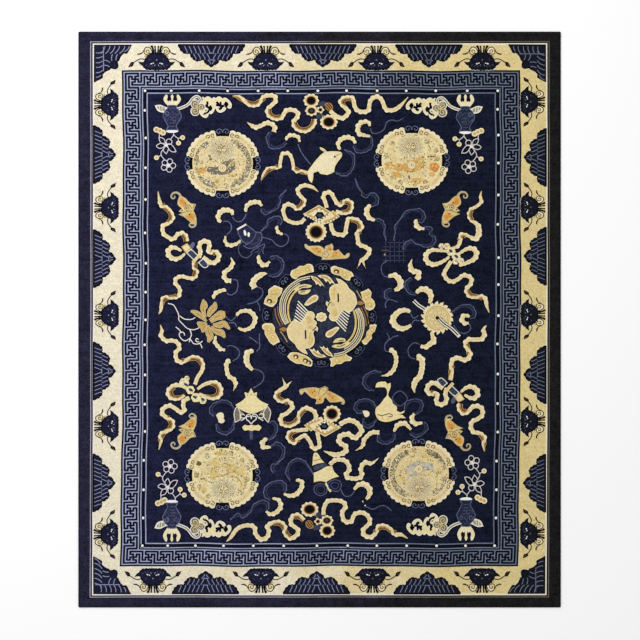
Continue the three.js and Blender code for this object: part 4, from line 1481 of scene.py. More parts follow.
CONCH_BEADS = (((362, 500), (366, 507)), 6, 0.7, ("shadow", "pearl", "thread_blue"), 4)


def draw_knot(pile):
    """Four loops of ribbon tied round a small ring."""
    pile.draw(KNOT_LOBE)
    for row in KNOT_LOOPS:
        pile.loop(*row)
    pile.fill(ring(*KNOT_RING), "slate", 7)
    pile.loop(*KNOT_MIDDLE)


def draw_lozenges(pile):
    """Two lozenges, one over the other, with beaded edges and a dark eye."""
    pile.draw(LOZENGES)
    for row in LOZENGE_BEADS:
        pile.beads(*row)


def draw_tube(pile):
    """A yellow-ended tube tied in a bow with a clover loop."""
    pile.ribbon(BOW_WIDTH, TUBE_LEFT_LOOP)
    pile.ribbon(CLOVER_WIDTH, TUBE_CLOVER, "", CLOVER_SHADES)
    pile.draw(TUBE, 6)


def draw_bow(pile, left, right, lobes, spots):
    """A bow whose middle is a chain of round lobes."""
    brown = ((2, 7),) if len(spots) > 2 else ()
    pile.ribbon(BOW_WIDTH, left, "", brown)
    pile.ribbon(BOW_WIDTH, right, "", brown)
    for x, y, radius in lobes:
        pile.fill(ring(x, y, radius, lobes=6, depth=0.12), "cream_gold", 6, halo=HALO)
    for x, y, radius in lobes:
        pile.speckle(x, y, radius * 0.66, radius * 0.66, round(radius * 3), LOBE_MIX, 7)
        pile.fill(ring(x, y, 0.6, steps=8), "stone", 7.5)
    for x, y in spots:
        pile.fill(ring(x, y, 2.2, 1.3, turn=30), "slate", 8)


def draw_stems(pile, stems, width, name):
    """Thin stems in a line of shadow."""
    for stem in stems:
        pile.line(smooth(stem), STEM_SHADOW, "shadow", 1)
        pile.line(smooth(stem), width, name, 2)


def draw_lotus(pile):
    """A lotus with loose petals on branching stems."""
    draw_stems(pile, LOTUS_STEMS, 0.95, "ivory_line")
    for petal in LOTUS_PETALS:
        line = smooth(petal)
        for extra, name, level, halo in LOTUS_LAYERS:
            pile.strip([(p.x, p.y, max(p.z + extra, 0.1)) for p in line], name, level, halo)
        pile.line(line[len(line) // 4: -len(line) // 3], 0.7, "ribbon_tan", 7)


def draw_wheel(pile):
    """A wheel with flame teeth and leaf spokes, and the stick through it."""
    x, y = WHEEL
    for stick, level in ((STICK_BEHIND, 2), (STICK_BEFORE, 11)):
        line = smooth(stick)
        pile.line(line, 4.6, "shadow", level)
        pile.line(line, 3.4, "ivory_line", level + 0.5)
        pile.line(line[:-1], 1.2, "shadow", level + 1)
    for k in range(WHEEL_TEETH):
        with pile.at(x, y, 360 * (k + 0.4) / WHEEL_TEETH):
            tip = 16.2 + 0.9 * math.sin(5 * k)
            tooth = [(12.0, -2.4, 1), (14.8, -2), (tip, 1.2, 1), (14.6, 1.3), (12.0, 2.2, 1)]
            pile.fill(shape(tooth), "ribbon_edge", 3, halo=0.6)
    for radius, name in WHEEL_RINGS:
        pile.fill(ring(x, y, radius, steps=36), name, 4 + (14 - radius) / 1.5)
    for k in range(WHEEL_SPOKES):
        with pile.at(x, y, 360 * (k + 0.5) / WHEEL_SPOKES):
            pile.fill(ring(SPOKE_REACH, 0, 3.0, 1.9), "olive", 8)
            pile.fill(ring(SPOKE_REACH, 0, 2.4, 1.3), "cream_gold", 8.5)
            pile.line([(SPOKE_REACH - 0.8, 0), (SPOKE_REACH + 1.6, 0)], 0.6, "olive", 9)
    pile.fill(ring(x, y, WHEEL_HUB), "shadow", 9.5)


def draw_endless_knot(pile):
    """The endless knot: thin strands that pass over and under each other."""
    reach = ENDLESS_PITCH * 0.5
    for i in range(ENDLESS_STRANDS):
        for j in range(ENDLESS_STRANDS):
            x, y = ENDLESS_KNOT[0] + i * ENDLESS_PITCH, ENDLESS_KNOT[1] + j * ENDLESS_PITCH
            over, under = ((1, 0), (0, 1)) if (i + j) % 2 else ((0, 1), (1, 0))
            strands = (
                (over, -reach, reach, 0.65),
                (under, -reach, -ENDLESS_GAP, 0.5),
                (under, ENDLESS_GAP, reach, 0.5),
            )
            for (u, v), *ends, width in strands:
                pile.line([(x + u * end, y + v * end) for end in ends], width, "thread_dim", 3)
    pile.draw(ENDLESS_TASSEL)


# Ring of the medallion: cream pieces as outlines, and the middles of the dark ones between them
MEDALLION = (321.6, 316.2)
MEDALLION_RADII = (50.5, 44.5)
MEDALLION_PEARL = (321.4, 317)
RING_PIECES = (
    ((290.2, 274.8, 1), (291.6, 270.6), (296.4, 268.6, 1), (299.6, 266), (303.8, 266, 1), (308, 263.8),
     (312.6, 265.4), (314, 271.8, 1), (308.6, 273), (303.6, 274.8), (299.4, 276.2), (296.2, 279.4, 1),
     (292.4, 278)),
    ((330.6, 267.4, 1), (334.4, 265.8), (338.6, 267.2, 1), (343, 268.4), (348.4, 270.6, 1), (352, 272.4),
     (354, 276.4, 1), (351, 277.2), (349.8, 280.8, 1), (345.2, 279.6), (340, 275.6, 1), (335, 274.6),
     (331.4, 272.4)),
    ((274.4, 285.2, 1), (278.6, 286.6), (282.8, 288.6, 1), (281, 294), (277.6, 297.8, 1), (276.6, 302.6),
     (272.6, 307, 1), (268.8, 306.2), (263.8, 303.8, 1), (265.2, 298.6), (268.4, 294.4, 1), (268.6, 289.6),
     (272.2, 287)),
    ((262, 325.2, 1), (265.4, 323.2), (272, 323.4, 1), (274.6, 327), (274.8, 331.8, 1), (277.8, 337),
     (280, 342, 1), (276.6, 343.4), (273.6, 345.4, 1), (269.6, 342.2), (267.4, 338.4, 1), (265, 334.4),
     (264.6, 330.4, 1), (262.4, 328.4)),
    ((287.2, 356.6, 1), (290, 353), (293.2, 352.2, 1), (298, 352.6), (302.8, 354.4, 1), (307.6, 356.4),
     (312.4, 360.6, 1), (311.6, 366.2), (306, 365.6), (301.6, 363.8, 1), (296, 363.4), (290.2, 360, 1)),
    ((329.4, 358.8, 1), (334.6, 356.6), (340.2, 353.6, 1), (344.6, 353.2), (348, 356, 1), (352, 357.8),
     (350, 361, 1), (345, 361.4), (341, 364, 1), (336, 364.2), (333.2, 366.4), (330.2, 366.2, 1),
     (331, 362)),
    ((360.4, 292.2, 1), (364.4, 290.6), (368.4, 288.6, 1), (371.4, 292.4), (370.6, 297.6, 1), (374, 300.8),
     (375.2, 305.6, 1), (373.2, 309), (369.6, 310.6, 1), (365.8, 308.6), (365, 303.8, 1), (362.6, 299),
     (361.6, 295.2)),
    ((376.8, 325, 1), (373.4, 323.8), (369.6, 325, 1), (369.4, 328.8), (366.6, 332, 1), (365.6, 337),
     (361.6, 341, 1), (363.8, 344.4), (366.6, 344.4, 1), (369.4, 340.8), (372, 338.4, 1), (371.8, 334.4),
     (374.8, 331.4, 1)),
)
# Places in the ring: brown spots, olive rings, and the lenses with their turn
RING_SHADES = ((336.6, 271.4), (269.6, 301), (296, 356.6), (305.6, 360.4), (308.8, 362.4))
RING_GOLD = (
    (297, 272), (307.6, 269.6), (344.6, 274.8), (273.6, 292.8), (269, 329.4), (273, 337), (337, 360.4),
    (345, 357.6), (366.4, 297), (369.6, 304.6), (372, 329.6), (367.8, 337.4),
)
RING_LENSES = (
    (322.8, 267.8, 0), (356.8, 282.6, 48), (372, 317.4, 90), (358.2, 350, 133), (321.4, 362.6, 180),
    (282.2, 348.2, 228), (266.8, 315.4, 270), (284.8, 281, 312),
)
# Scrolls of a lens and its edge, round its middle
LENS_CURL = ((0.4, 2.6), (0.6, -0.6), (2.4, -2.2), (4.4, -0.8), (3.8, 1.2), (2.2, 0.6))
RIM_LENS_CURL = ((0.3, 0.4), (0.7, -2.4), (3, -4), (5.6, -3), (6.4, -0.6), (4.6, 1.2), (2.8, 0), (3.6, -1.6))
LENS_EDGE = ((-7.8, -0.8), (-6.4, -3.6), (-2.8, -4.4), (0, -4.9), (2.8, -4.4), (6.4, -3.6), (7.8, -0.8))

# The left phoenix, in the field's squares. The right one is the same, turned round the medallion's middle
PHOENIX_BODY = (
    (306.6, 312.4, 1), (310, 311), (313.6, 312.6), (315, 316), (313.6, 319.4, 1), (316.8, 322.4),
    (315.8, 325.6, 1), (318, 328), (317.4, 331.6, 1), (314.8, 330), (313.2, 333.4, 1), (314.6, 339),
    (313.8, 344.6), (309.8, 348), (305, 348.6, 1), (308, 354.4, 1), (303, 352.8), (297.4, 348.6),
    (294.6, 344), (289.2, 339), (287.2, 333.4, 1), (286.8, 329.4), (289.4, 324.4), (294, 320.2),
    (300.2, 322.2, 1), (303.6, 318.2),
)
PHOENIX_TAIL = (
    (285.4, 324.6), (281.2, 317), (279.8, 308.6), (280.8, 299.6), (285, 290.4), (292, 283.6), (301, 278.2),
    (311, 276.2),
)
PHOENIX_TAIL_INNER = (
    (290.6, 322), (288.6, 314), (288.8, 305), (291.4, 297.4), (296, 291.6), (303, 287.4), (309.6, 286),
)
# Lines along the tail: share of the way across, width and wool
PHOENIX_TAIL_LINES = (
    (0, 1.1, "cream_gold"),
    (0.2, 0.9, "ivory_line"),
    (0.42, 0.9, "ribbon_edge"),
    (0.62, 1, "cream_gold"),
    (0.95, 1.9, "gold_pale"),
)
PHOENIX_ROWS = (
    ("line", "ribbon_tan", 0.9, ((275, 308.6), (276.2, 317), (280.4, 326.4)), ((277.6, 306.4), (278.6, 315),
     (282.8, 324.8))),
    ("line", "gold", 0.8, ((280.2, 331.2), (283.6, 335.6), (287.2, 342))),
    ("shape", "ribbon", 0.7, ((293.6, 290, 1), (298, 286), (304.6, 284), (311.8, 285.6), (309, 287.8),
     (302, 288), (297, 290.4)), ((298.6, 290.6, 1), (303, 290.6), (310.6, 289.6), (308, 293.4), (303, 294.6),
     (298.6, 293.4))),
    ("line", "shadow", 0.8, ((298.6, 288.2), (303, 286.2), (307, 286.2)), ((300, 292.4), (303, 291.8),
     (305, 291.6))),
    ("shape", "ribbon_edge", 0.7, ((310.4, 275.6, 1), (316.4, 277.2), (320.8, 281.4), (324.6, 286.6, 1),
     (321.6, 285), (320.4, 286.6, 1), (318, 283.8), (316.4, 285, 1), (314.4, 281), (312.6, 279.6)),
     ((317.4, 275.6, 1), (324, 274.8), (330, 277.4), (335.2, 284.4, 1), (331.6, 282.8), (330, 284.4, 1),
     (327.8, 281), (326, 282.4, 1), (323.4, 278.6), (320.4, 277.8))),
    ("line", "gold", 2.4, ((312.8, 277.2), (317.8, 280.8), (320.4, 283.8)), ((320.8, 276.4), (326.4, 277.8),
     (330.6, 281.2))),
    ("line", "ribbon_tan", 0.5, ((313.8, 278), (318.4, 281.4), (321.6, 284.6)), ((321.6, 276.6),
     (327, 278.2), (331.4, 281.8))),
    ("shape", "ribbon_edge", 0.7, ((304.4, 304.6), (307, 300.6), (311.8, 296), (316, 294.8), (318.4, 297.2),
     (316.8, 300.8), (312, 303.4), (307.6, 305.6))),
    ("shape", "gold", 0, ((306.2, 303.8), (308.4, 300.8), (312.6, 297.2), (316.4, 296.6), (315.6, 299.8),
     (310.4, 302.6))),
    ("shape", "ribbon_tan", 0.7, ((278.8, 329.2, 1), (283, 327.2), (288, 328.4, 1), (284, 331.6))),
    ("shape", "ribbon_edge", 0.9, PHOENIX_BODY),
    ("inner", "ribbon", 0.8),
    ("shape", "gold_pale", 0, ((308.2, 315.6), (311.6, 317), (311.4, 322.6), (307.4, 323.4), (306.6, 319)),
     ((310.6, 332), (313, 337), (312.6, 343), (309, 345.6), (309, 338))),
    ("line", "gold", 0.6, ((307.4, 317), (309.6, 319.4), (307.8, 322)), ((309.4, 333), (309.8, 339),
     (308, 344))),
    ("line", "shadow", 1.5, ((305.5, 330.2), (305.7, 338.8))),
    ("rim", "olive", 0.7, ((309.4, 327.4), (311.2, 326.4), (313, 327.6), (311, 328.8))),
    ("line", "shadow", 0.9, ((312.4, 330.6), (315, 328.6), (315.6, 326.8))),
)
QUILLS = 7  # white feathers on its back, from the first to the last: root and tip
FIRST_QUILL = ((308.8, 312.4), (298.0, 301.0))
LAST_QUILL = ((300.2, 322.8), (293.8, 318.8))


def draw_lens(pile, edged=True):
    """A dark lens with two blue scrolls back to back, its outer side up, in a ring."""
    pile.fill(ring(0, 0, 7.8, 4.4, lobes=8, depth=0.08), "shadow", 7)
    curl, width = (LENS_CURL, 0.8) if edged else (RIM_LENS_CURL, 0.95)
    for side in (-1, 1):
        pile.line(smooth([(side * u, v) for u, v in curl]), width, "thread_blue", 8)
    if edged:
        pile.line(smooth(LENS_EDGE), 0.75, "scale_dim", 8)


def draw_phoenix(pile):
    """The left phoenix, its long tail swept round over its back."""
    outer, inner = resampled(smooth(PHOENIX_TAIL), 3.0), resampled(smooth(PHOENIX_TAIL_INNER), 3.0)
    steps = min(len(outer), len(inner))
    for share, width, name in PHOENIX_TAIL_LINES:
        line = []
        for i in range(steps):
            a, b = outer[i * len(outer) // steps], inner[i * len(inner) // steps]
            line.append(a.lerp(b, share))
        if share > 0.3:
            line = line[:round(0.82 * steps)]
        pile.line(line, width + 1.3, "shadow", 4)
        pile.line(line, width, name, 5)
        if name == "ivory_line":
            pile.beads([(*p, 0) for p in line[:-3]], 26, 0.34, ("shadow",), 6)
    for k in range(QUILLS):
        share = k / (QUILLS - 1)
        root, tip = (Vector(a).lerp(Vector(b), share) for a, b in zip(FIRST_QUILL, LAST_QUILL))
        pile.line([root, tip], 2.5, "shadow", 4)
        pile.line([root, tip], 1.15, "ivory_line", 5)
    pile.draw(PHOENIX_ROWS, 6)


def make_medallion():
    """The central medallion: two phoenixes and a pearl, inside a ring of cream clouds and dark lenses."""
    pile = Pile("central_medallion", FIELD)
    x, y = MEDALLION
    rx, ry = MEDALLION_RADII
    pile.fill(ring(x, y, rx, ry, steps=48), "moon_blue", 1)
    pile.line(ring(x, y, rx - 0.7, ry - 0.7, steps=60), 1.3, "shadow", 2, closed=True)
    for points in RING_PIECES:
        outline = shape(points)
        pile.fill(outline, "ribbon_edge", 3, halo=HALO)
        centre = sum(outline, Vector((0, 0))) / len(outline)
        pile.fill([p.lerp(centre, 0.15) for p in outline], "gold_pale", 4)
    for place in RING_GOLD:
        pile.line(ring(*place, 2.1, 1.6, turn=30), 0.6, "olive", 5, closed=True)
        pile.fill(ring(*place, 0.9, 0.7), "cream_gold", 5)
    for shade_x, shade_y in RING_SHADES:
        pile.fill(ring(shade_x, shade_y, 2.8, 2.1, turn=20), "ribbon_brown", 5)
        pile.fill(ring(shade_x - 0.4, shade_y + 0.6, 1.2), "cream_gold", 6)
    for lens_x, lens_y, turn in RING_LENSES:
        with pile.at(lens_x, lens_y, turn, size=0.9):
            draw_lens(pile)
    for turn in (0, 180):
        with pile.at(x + 0.3, y, turn), pile.at(-x - 0.3, -y):
            draw_phoenix(pile)
    pile.fill(ring(*MEDALLION_PEARL, 5.4, 4.6, lobes=8, depth=0.14), "ribbon_edge", 6, halo=HALO)
    pile.fill(ring(*MEDALLION_PEARL, 4.0, 3.3), "ribbon", 7)
    pile.line(ring(*MEDALLION_PEARL, 2.2, 1.8), 0.5, "gold", 8, closed=True)
    return pile.finish()


# The corner roundels: middle, turn, wools of the ground and of the lion's hollow, grey stretches inside the
# rim from one angle to another, and patches: wool, middle and radii
ROUNDEL_PLACES = (
    (222.6, 163.4, 0, "ribbon", "stone", ((-52, 72), (106, 150), (184, 240), (290, 304)),
     (("orange_pale", -20.5, 7.4, 4.4, 3.4), ("yellow", -5.4, 17.6, 3, 2.6), ("gold_pale", 10, 12, 4.6, 2),
     ("stone", -13.1, -7.8, 1.2, 1.7), ("stone", -12, -4.2, 1.6, 1.2))),
    (411.8, 160.4, 0, "cream_gold", "orange_pale", (), (("orange", 22.6, 6.6, 5, 4.2),
     ("orange_pale", -22.8, 5.6, 4.6, 3.6), ("orange_pale", -15.6, 14.4, 5.4, 2.6),
     ("orange_pale", 6.6, 19.8, 7, 2.2), ("gold_pale", 2, -20.8, 8, 2), ("orange_pale", -10, 8.6, 7.6, 2.2),
     ("orange_pale", 20, 14, 3, 2.4), ("orange_pale", -15, 6.4, 7, 2.8),
     ("ribbon_brown", -2.6, 17, 0.6, 2.6), ("ribbon_brown", 19.1, -3.8, 3.6, 0.6))),
    (222.4, 475.4, 180, "cream_gold", "gold_pale", (), (("yellow", 2.2, 22, 6, 2.2),
     ("gold_pale", 6.8, 12, 4, 3.4), ("gold_pale", -18.5, 3.6, 3.6, 3), ("gold_pale", 18.6, -14, 3.4, 3),
     ("olive_dark", -2.4, 16.1, 0.6, 2.2), ("olive_dark", 19.4, -3.4, 3, 0.6),
     ("bud_brown", -16.2, -17.2, 0.8, 0.8))),
    (418.6, 473.6, 180, "ribbon", "slate_pale", ((-30, 66), (112, 160), (188, 236), (300, 330)),
     (("gold_pale", -6.6, 17.6, 3.6, 2.6), ("gold_pale", 17, -2, 2.6, 3.6),
     ("orange_pale", 2.2, -22.4, 3, 2))),
)
ROUNDEL_RX = 36.0
ROUNDEL_RY = 32.6
# Reach of its parts from the middle, as shares: inner edge and middle of the rim, ground, and grey stretches
ROUNDEL_RIM = 0.8
RIM_MIDDLE = 0.88
ROUNDEL_GROUND = 0.84
GREY_BAND = 0.72
ROUNDEL_SCALLOPS = 7  # to a quarter
LENS_ANGLE = 12  # half of a lens's share of the rim, in degrees
RIM_CURL = ((-1.9, 1.2), (-1.6, -1.2), (0.4, -1.8), (1.7, -0.4), (0.8, 1), (-0.4, 0.4))

# The lion in a roundel, round its middle: stations of x, y and width, from the mane to the tail
LION_NECK = (
    (-19, -15, 2.5), (-21.4, -8, 5.4), (-17.6, -1.6, 5.4), (-9.7, 1, 4.8), (-3.2, -1.4, 4.2), (2, -5.2, 2.4),
)
LION_BODY = (
    (17.6, -11, 4), (19.8, -4, 7), (17.6, 5.6, 7.4), (9.6, 12.6, 6.6), (-1, 14.8, 6), (-12, 13.6, 6),
    (-20.4, 8.4, 6.4), (-23, 0.6, 4),
)
LION_TAIL = ((-7, 15, 4), (-5.4, 19, 5), (-1.6, 22, 4), (3.6, 22.4, 1.5))
LION_GROUND = (
    (-14.6, 3.6), (-14.8, 11.4), (-4, 11.6), (6.8, 11.2), (12.2, 6), (12, -3), (8.4, -6), (1.6, -2),
    (-5.6, 3.6),
)
LION_FACE = (
    ("line", "olive_dark", 0.6, ((-5.8, -12.4), (-4, -11.2), (-2, -12)), ((3.8, -12.4), (2, -11.2),
     (0, -12))),
    ("line", "olive_dark", 0.7, ((-4.2, -17.6), (-2.4, -16.6), (-1.6, -14.4)), ((2.2, -17.6), (0.4, -16.6),
     (-0.4, -14.4))),
    ("line", "olive_dark", 0.5, ((-1, -14), (-1, -10.6))),
    ("dots", "bud_brown", 0.6, ((-3.4, -14.8), (1.4, -14.8))),
)
LION_PEARL = (-0.2, 4.6)
MANE_PETALS = 17
MANE_MIDDLE = (-1, -13.8)
# Layers of a part of its body: extra width, share of the width, and wool
LION_BANDS = ((0.8, 1, "olive"), (0, 1, "cream_gold"), (0, 0.74, "gold_pale"), (0, 0.58, "ribbon"))
PEARL_RINGS = ((4.2, "olive"), (3.7, "ribbon_edge"), (2.5, "gold"), (1.9, "cream_gold"), (0.7, "bud_brown"))
CLOUD_CURLS = 13  # small curls between the lion and the rim
GREY_MIX = ("stone", "ribbon_edge", "olive_dark", "cream_gold", "slate")
STIPPLES = 320
STIPPLE_MIX = ("olive_dark", "ribbon_edge", "olive", "olive_dark", "ivory_line")


def oval_point(share, degrees, rx=ROUNDEL_RX, ry=ROUNDEL_RY):
    """A point of a roundel's oval, a little squarer than an ellipse, at a share of its size."""
    angle = math.radians(degrees)
    swell = share * (1 + 0.03 * math.sin(2 * angle) ** 2)
    return Vector((rx * swell * math.cos(angle), ry * swell * math.sin(angle)))


def draw_rim(pile):
    """A roundel's rim: four cream quarters with scallops and curls, and a dark lens between each two."""
    for quarter in range(4):
        low, high = 90 * quarter + LENS_ANGLE, 90 * (quarter + 1) - LENS_ANGLE
        rise = (high - low) / ROUNDEL_SCALLOPS
        outer = [(*oval_point(1.0, low + k * rise), 0.26) for k in range(ROUNDEL_SCALLOPS + 1)]
        edge = arcs(outer, False, 4)
        inner = [oval_point(ROUNDEL_RIM, high - k * rise) for k in range(ROUNDEL_SCALLOPS + 1)]
        pile.fill(edge + inner, "ribbon_edge", 5, halo=1.0)
        places = [low + 3 + k * (rise - 0.85) for k in range(ROUNDEL_SCALLOPS + 1)]
        pile.strip([(*oval_point(RIM_MIDDLE, place), 4.6) for place in places], "ribbon", 6)
        for k in range(4, 3 * ROUNDEL_SCALLOPS - 3):
            angle = low + k * rise / 3
            start = oval_point(RIM_MIDDLE + random.uniform(-0.05, 0.02), angle)
            pile.line([start, oval_point(0.9, angle + 1.4)], 0.65, ("olive", "gold")[k % 2], 7)
        for end, side in ((low, 1), (high, -1)):
            for k in range(2):
                with pile.at(*oval_point(0.89, end + side * (5.5 + 9 * k)), end + 90 * k):
                    pile.line(smooth(RIM_CURL), 0.8, "olive_dark", 7.5)
    for degrees in (0, 90, 180, 270):
        with pile.at(*oval_point(0.95, degrees), degrees + 90, size=0.94, tall=0.9):
            draw_lens(pile, False)


def draw_band(pile, stations, level):
    """A part of the lion's body: a pale edge, an inner line and strokes across it."""
    line = smooth(stations)
    for extra, share, name in LION_BANDS:
        pile.strip([(p.x, p.y, p.z * share + extra) for p in line], name, level)
        level += 0.25
    for before, p in zip(line[::2], line[1::2]):
        across = (p.xy - before.xy).orthogonal().normalized() * p.z * 0.2
        pile.line([p.xy - across, p.xy + across], 0.5, "olive", level)


def draw_petals(pile, count, reach, length, width, level):
    """A ring of the mane: pale petals with a fine vein, round the face."""
    x, y = MANE_MIDDLE
    for k in range(count):
        degrees = 360 * (k + 0.3) / count
        angle = math.radians(degrees)
        with pile.at(x + reach * math.cos(angle), y + 0.85 * reach * math.sin(angle), degrees):
            pile.fill(ring(0, 0, length, width + 0.28), "olive_dark", level)
            pile.fill(ring(0.2, 0, length - 0.4, width), "ribbon_edge", level + 0.5)
            pile.line([(-length / 2, 0), (length / 2, 0)], 0.4, "olive_dark", level + 1)


def draw_roundel(pile, ground, hollow, grey_arcs, patches):
    """A roundel: a lion coiled round a pearl among small clouds, inside its rim."""
    pile.fill([oval_point(0.97, 9 * k) for k in range(40)], "shadow", 1)
    pile.fill([oval_point(ROUNDEL_GROUND, 9 * k) for k in range(40)], ground, 2)
    for start, end in grey_arcs:
        middle = [(*oval_point(GREY_BAND, degrees), 6.4) for degrees in range(start, end + 1, 6)]
        pile.strip(middle, "stone_pale", 2.5)
        for x, y, _ in middle:
            pile.speckle(x, y, 3.2, 3.2, 12, GREY_MIX, 2.7, 0.75)
    for k in range(CLOUD_CURLS):
        degrees = 360 * (k + random.uniform(-0.2, 0.2)) / CLOUD_CURLS
        centre = oval_point(random.uniform(0.68, 0.75), degrees)
        with pile.at(*centre, degrees + random.uniform(-40, 40), mirror=k % 2 == 0):
            pile.fill(ring(0, 0, 2.9, 2.3), "olive_dark", 3)
            pile.fill(ring(0, 0, 2.4, 1.8), ground, 3.3)
            pile.line(spiral(0, 0, 1.7), 0.55, "olive_dark", 3.6)
    pile.fill(shape(LION_GROUND), hollow, 3)
    for k in range(5):
        pile.line([(4.4 + 1.7 * k, 5.6 - 1.1 * k), (7.4 + 1.1 * k, -0.6 - 0.9 * k)], 0.7, "gold_pale", 3.5)
    for stations, level in ((LION_BODY, 4), (LION_NECK, 4.1), (LION_TAIL, 4.2)):
        draw_band(pile, stations, level)
    for name, x, y, rx, ry in patches:
        pile.fill(ring(x, y, rx, ry, lobes=5, depth=0.16), name, 5.5)
    pile.fill(ring(-1, -13.6, 14.4, 11.6, lobes=MANE_PETALS, depth=0.12), ground, 5.2)
    draw_petals(pile, MANE_PETALS, 10.4, 3.6, 0.9, 6)
    draw_petals(pile, MANE_PETALS - 5, 6.4, 2.2, 0.8, 7)
    pile.draw(LION_FACE, 9)
    for radius, name in PEARL_RINGS:
        pile.fill(ring(*LION_PEARL, radius), name, 10 - radius / 2)
    for k in range(STIPPLES):
        centre = oval_point(0.79 * math.sqrt(random.random()), random.uniform(0, 360))
        turn = random.uniform(0, math.tau)
        stroke = Vector((math.cos(turn), math.sin(turn))) * random.uniform(0.5, 1.2)
        pile.line([centre - stroke, centre + stroke], 0.6, STIPPLE_MIX[k % len(STIPPLE_MIX)], 5.9)
    draw_rim(pile)


def make_roundels():
    """The four roundels in the corners of the field."""
    random.seed(7)
    pile = Pile("roundels", FIELD)
    for x, y, turn, *rest in ROUNDEL_PLACES:
        with pile.at(x, y, turn):
            draw_roundel(pile, *rest)
    return pile.finish()


def twin(points):
    """A symmetric outline from its right half."""
    return [*points, *((-p[0], *p[1:]) for p in reversed(points) if p[0])]


# A vase round the middle of its foot: u towards the middle of the field, v towards its sprigs
VASE_STAND = twin((
    (0, -10.8), (1.4, -8.8), (0.9, -6.4), (1.3, -3.7, 1), (2.8, -4.7, 1), (3.8, -3.6, 1), (5.2, -5.6),
    (4.5, -8.2), (5.1, -10.6), (7.1, -9.8), (8.8, -6), (7.4, -2.8), (5.8, -1, 1), (4.6, 0.4, 1),
))
VASE_BODY = twin((
    (4.1, 0.4), (4.2, 2.8), (7, 5.4), (8.7, 9), (9, 11.8), (6.6, 16.2), (4.2, 20.4), (4.4, 22.2),
    (6.2, 24.8, 1),
))
VASE_ROWS = (
    ("shape", "thread_fill", 0.6, VASE_BODY),
    ("rim", "thread_blue", 0.9, VASE_BODY),
    ("line", "thread_blue", 1, ((-7, 9.6), (-6.2, 6.8), (-4.2, 6.8), (-3.2, 9), (-4.8, 10.6), (-5.4, 8.8))),
    ("line", "thread_dim", 1, ((7, 9.6), (6.2, 6.8), (4.2, 6.8), (3.2, 9), (4.8, 10.6), (5.4, 8.8))),
    ("line", "thread_dim", 0.9, ((-2.6, 2), (-1.4, 4.4), (0.8, 2.4), (2.6, 4.2)), ((-1.6, 8.2), (0, 6.4),
     (1.6, 8.2), (0, 9.6)), ((-7.4, 12.2), (-5.4, 15), (-3.2, 16.4)), ((-3.6, 13), (-1.6, 11.4), (0, 13.2),
     (1.6, 11.4), (3.6, 13)), ((-2, 15.4), (0, 14.6), (2, 15.6), (4.4, 14.6)), ((-3, 18), (3, 17.8)),
     ((-2.4, 21), (2.4, 21))),
    ("shape", "pearl", 0.5, ((-6.2, 25.6), (0, 25), (6.2, 25.6), (3.4, 27.4), (-3.4, 27.4))),
)
# The sceptre's handle, the lobes of its head (middle, radius and turn), and the cloud beside it
SCEPTRE = (
    (4.6, 4), (9.5, 2.5), (14.4, 0.3), (17.4, -2.4), (20.4, -6.4), (24, -8.6), (27.2, -7.4), (28.2, -4.4),
)
SCEPTRE_LOBES = ((23, 6, 4.8, 150), (29.2, 2, 4.2, 20), (22.9, -1.4, 4.6, 240))
SCEPTRE_GEM = (24.6, 2.6, 1.4)
SCEPTRE_HOLE = (25.6, -6.1, 0.9)
CLOUD = (
    (28.2, -4.6, 1), (29.2, -7.4), (30.8, -8.4), (32.4, -7, 1), (33.6, -8.2), (35.5, -8.8), (37.6, -8.2),
    (39.6, -6.4, 1), (41, -7.8), (42.2, -7.8), (43.6, -6.9, 1), (45.2, -8.3), (47, -8.8), (48.8, -8),
    (50.2, -6.6, 1), (52.9, -7.6), (56, -5.8), (58.8, -2.6), (59.6, 0.2), (58.8, 2.8), (56.6, 3.4),
    (54.6, 1.4, 1), (53.9, 3.6), (52.1, 6), (48.4, 7.5), (45.1, 6.3), (43, 2.8, 1), (42.4, 4.4), (41.2, 7),
    (38.9, 9), (37, 8.2), (36.2, 6.6, 1), (36.6, 9), (35.4, 11.6), (33.2, 12.8), (29.6, 11.2), (27.6, 8),
    (27, 3),
)
CLOUD_GAPS = (
    (3, (52.4, -2.4), (54.6, -0.8), (52.4, 0.6)),
    (1.7, (52, 0.4), (49.3, 1), (46.6, -0.8), (44.2, -3.4)),
    (1.4, (48.6, 0.6), (48.3, -3.4)),
    (1.4, (47.4, 0.4), (43.8, -0.2)),
    (1.9, (49.4, 1.4), (48.6, 3.2), (46.6, 3.8)),
    (1.4, (53, 1), (54.8, 2)),
    (3.2, (37, 1), (38.2, 3), (37, 4.8)),
    (1.4, (36.8, 4.6), (36, 7)),
    (1.5, (36.6, 2.2), (33.8, 1), (35.2, -1.2), (35, -3.8)),
    (2.3, (31.6, 8.2), (32.8, 9)),
    (1.2, (33, 8.6), (36.2, 6.6)),
    (1.5, (33.4, 5), (33.9, 5.6)),
)
VASE_SPECKLE = (0, 11, 7, 6.4, 44, ("thread_dim", "hill_navy", "scale_dim"))
SCEPTRE_ROWS = (
    ("line", "shadow", 4.8, SCEPTRE),
    ("line", "ivory_line", 3, SCEPTRE),
    ("line", "stone", 1, SCEPTRE),
    ("shape", "ivory_line", 0.9, ((-17.4, 0.2, 1), (-12, -0.4), (-8, 1.2), (-4.6, 2.6, 1), (-6.2, 7.2, 1),
     (-10, 7.4), (-14.8, 5.4))),
    ("shape", "stone_pale", 0, ((-15.2, 1.3), (-10.8, 1), (-7.2, 3), (-7.8, 5.4), (-11, 5.8), (-13.8, 4))),
    ("line", "ivory_line", 0.7, ((-13, 1), (-12.2, 5.8)), ((-10.2, 1), (-10, 6))),
)
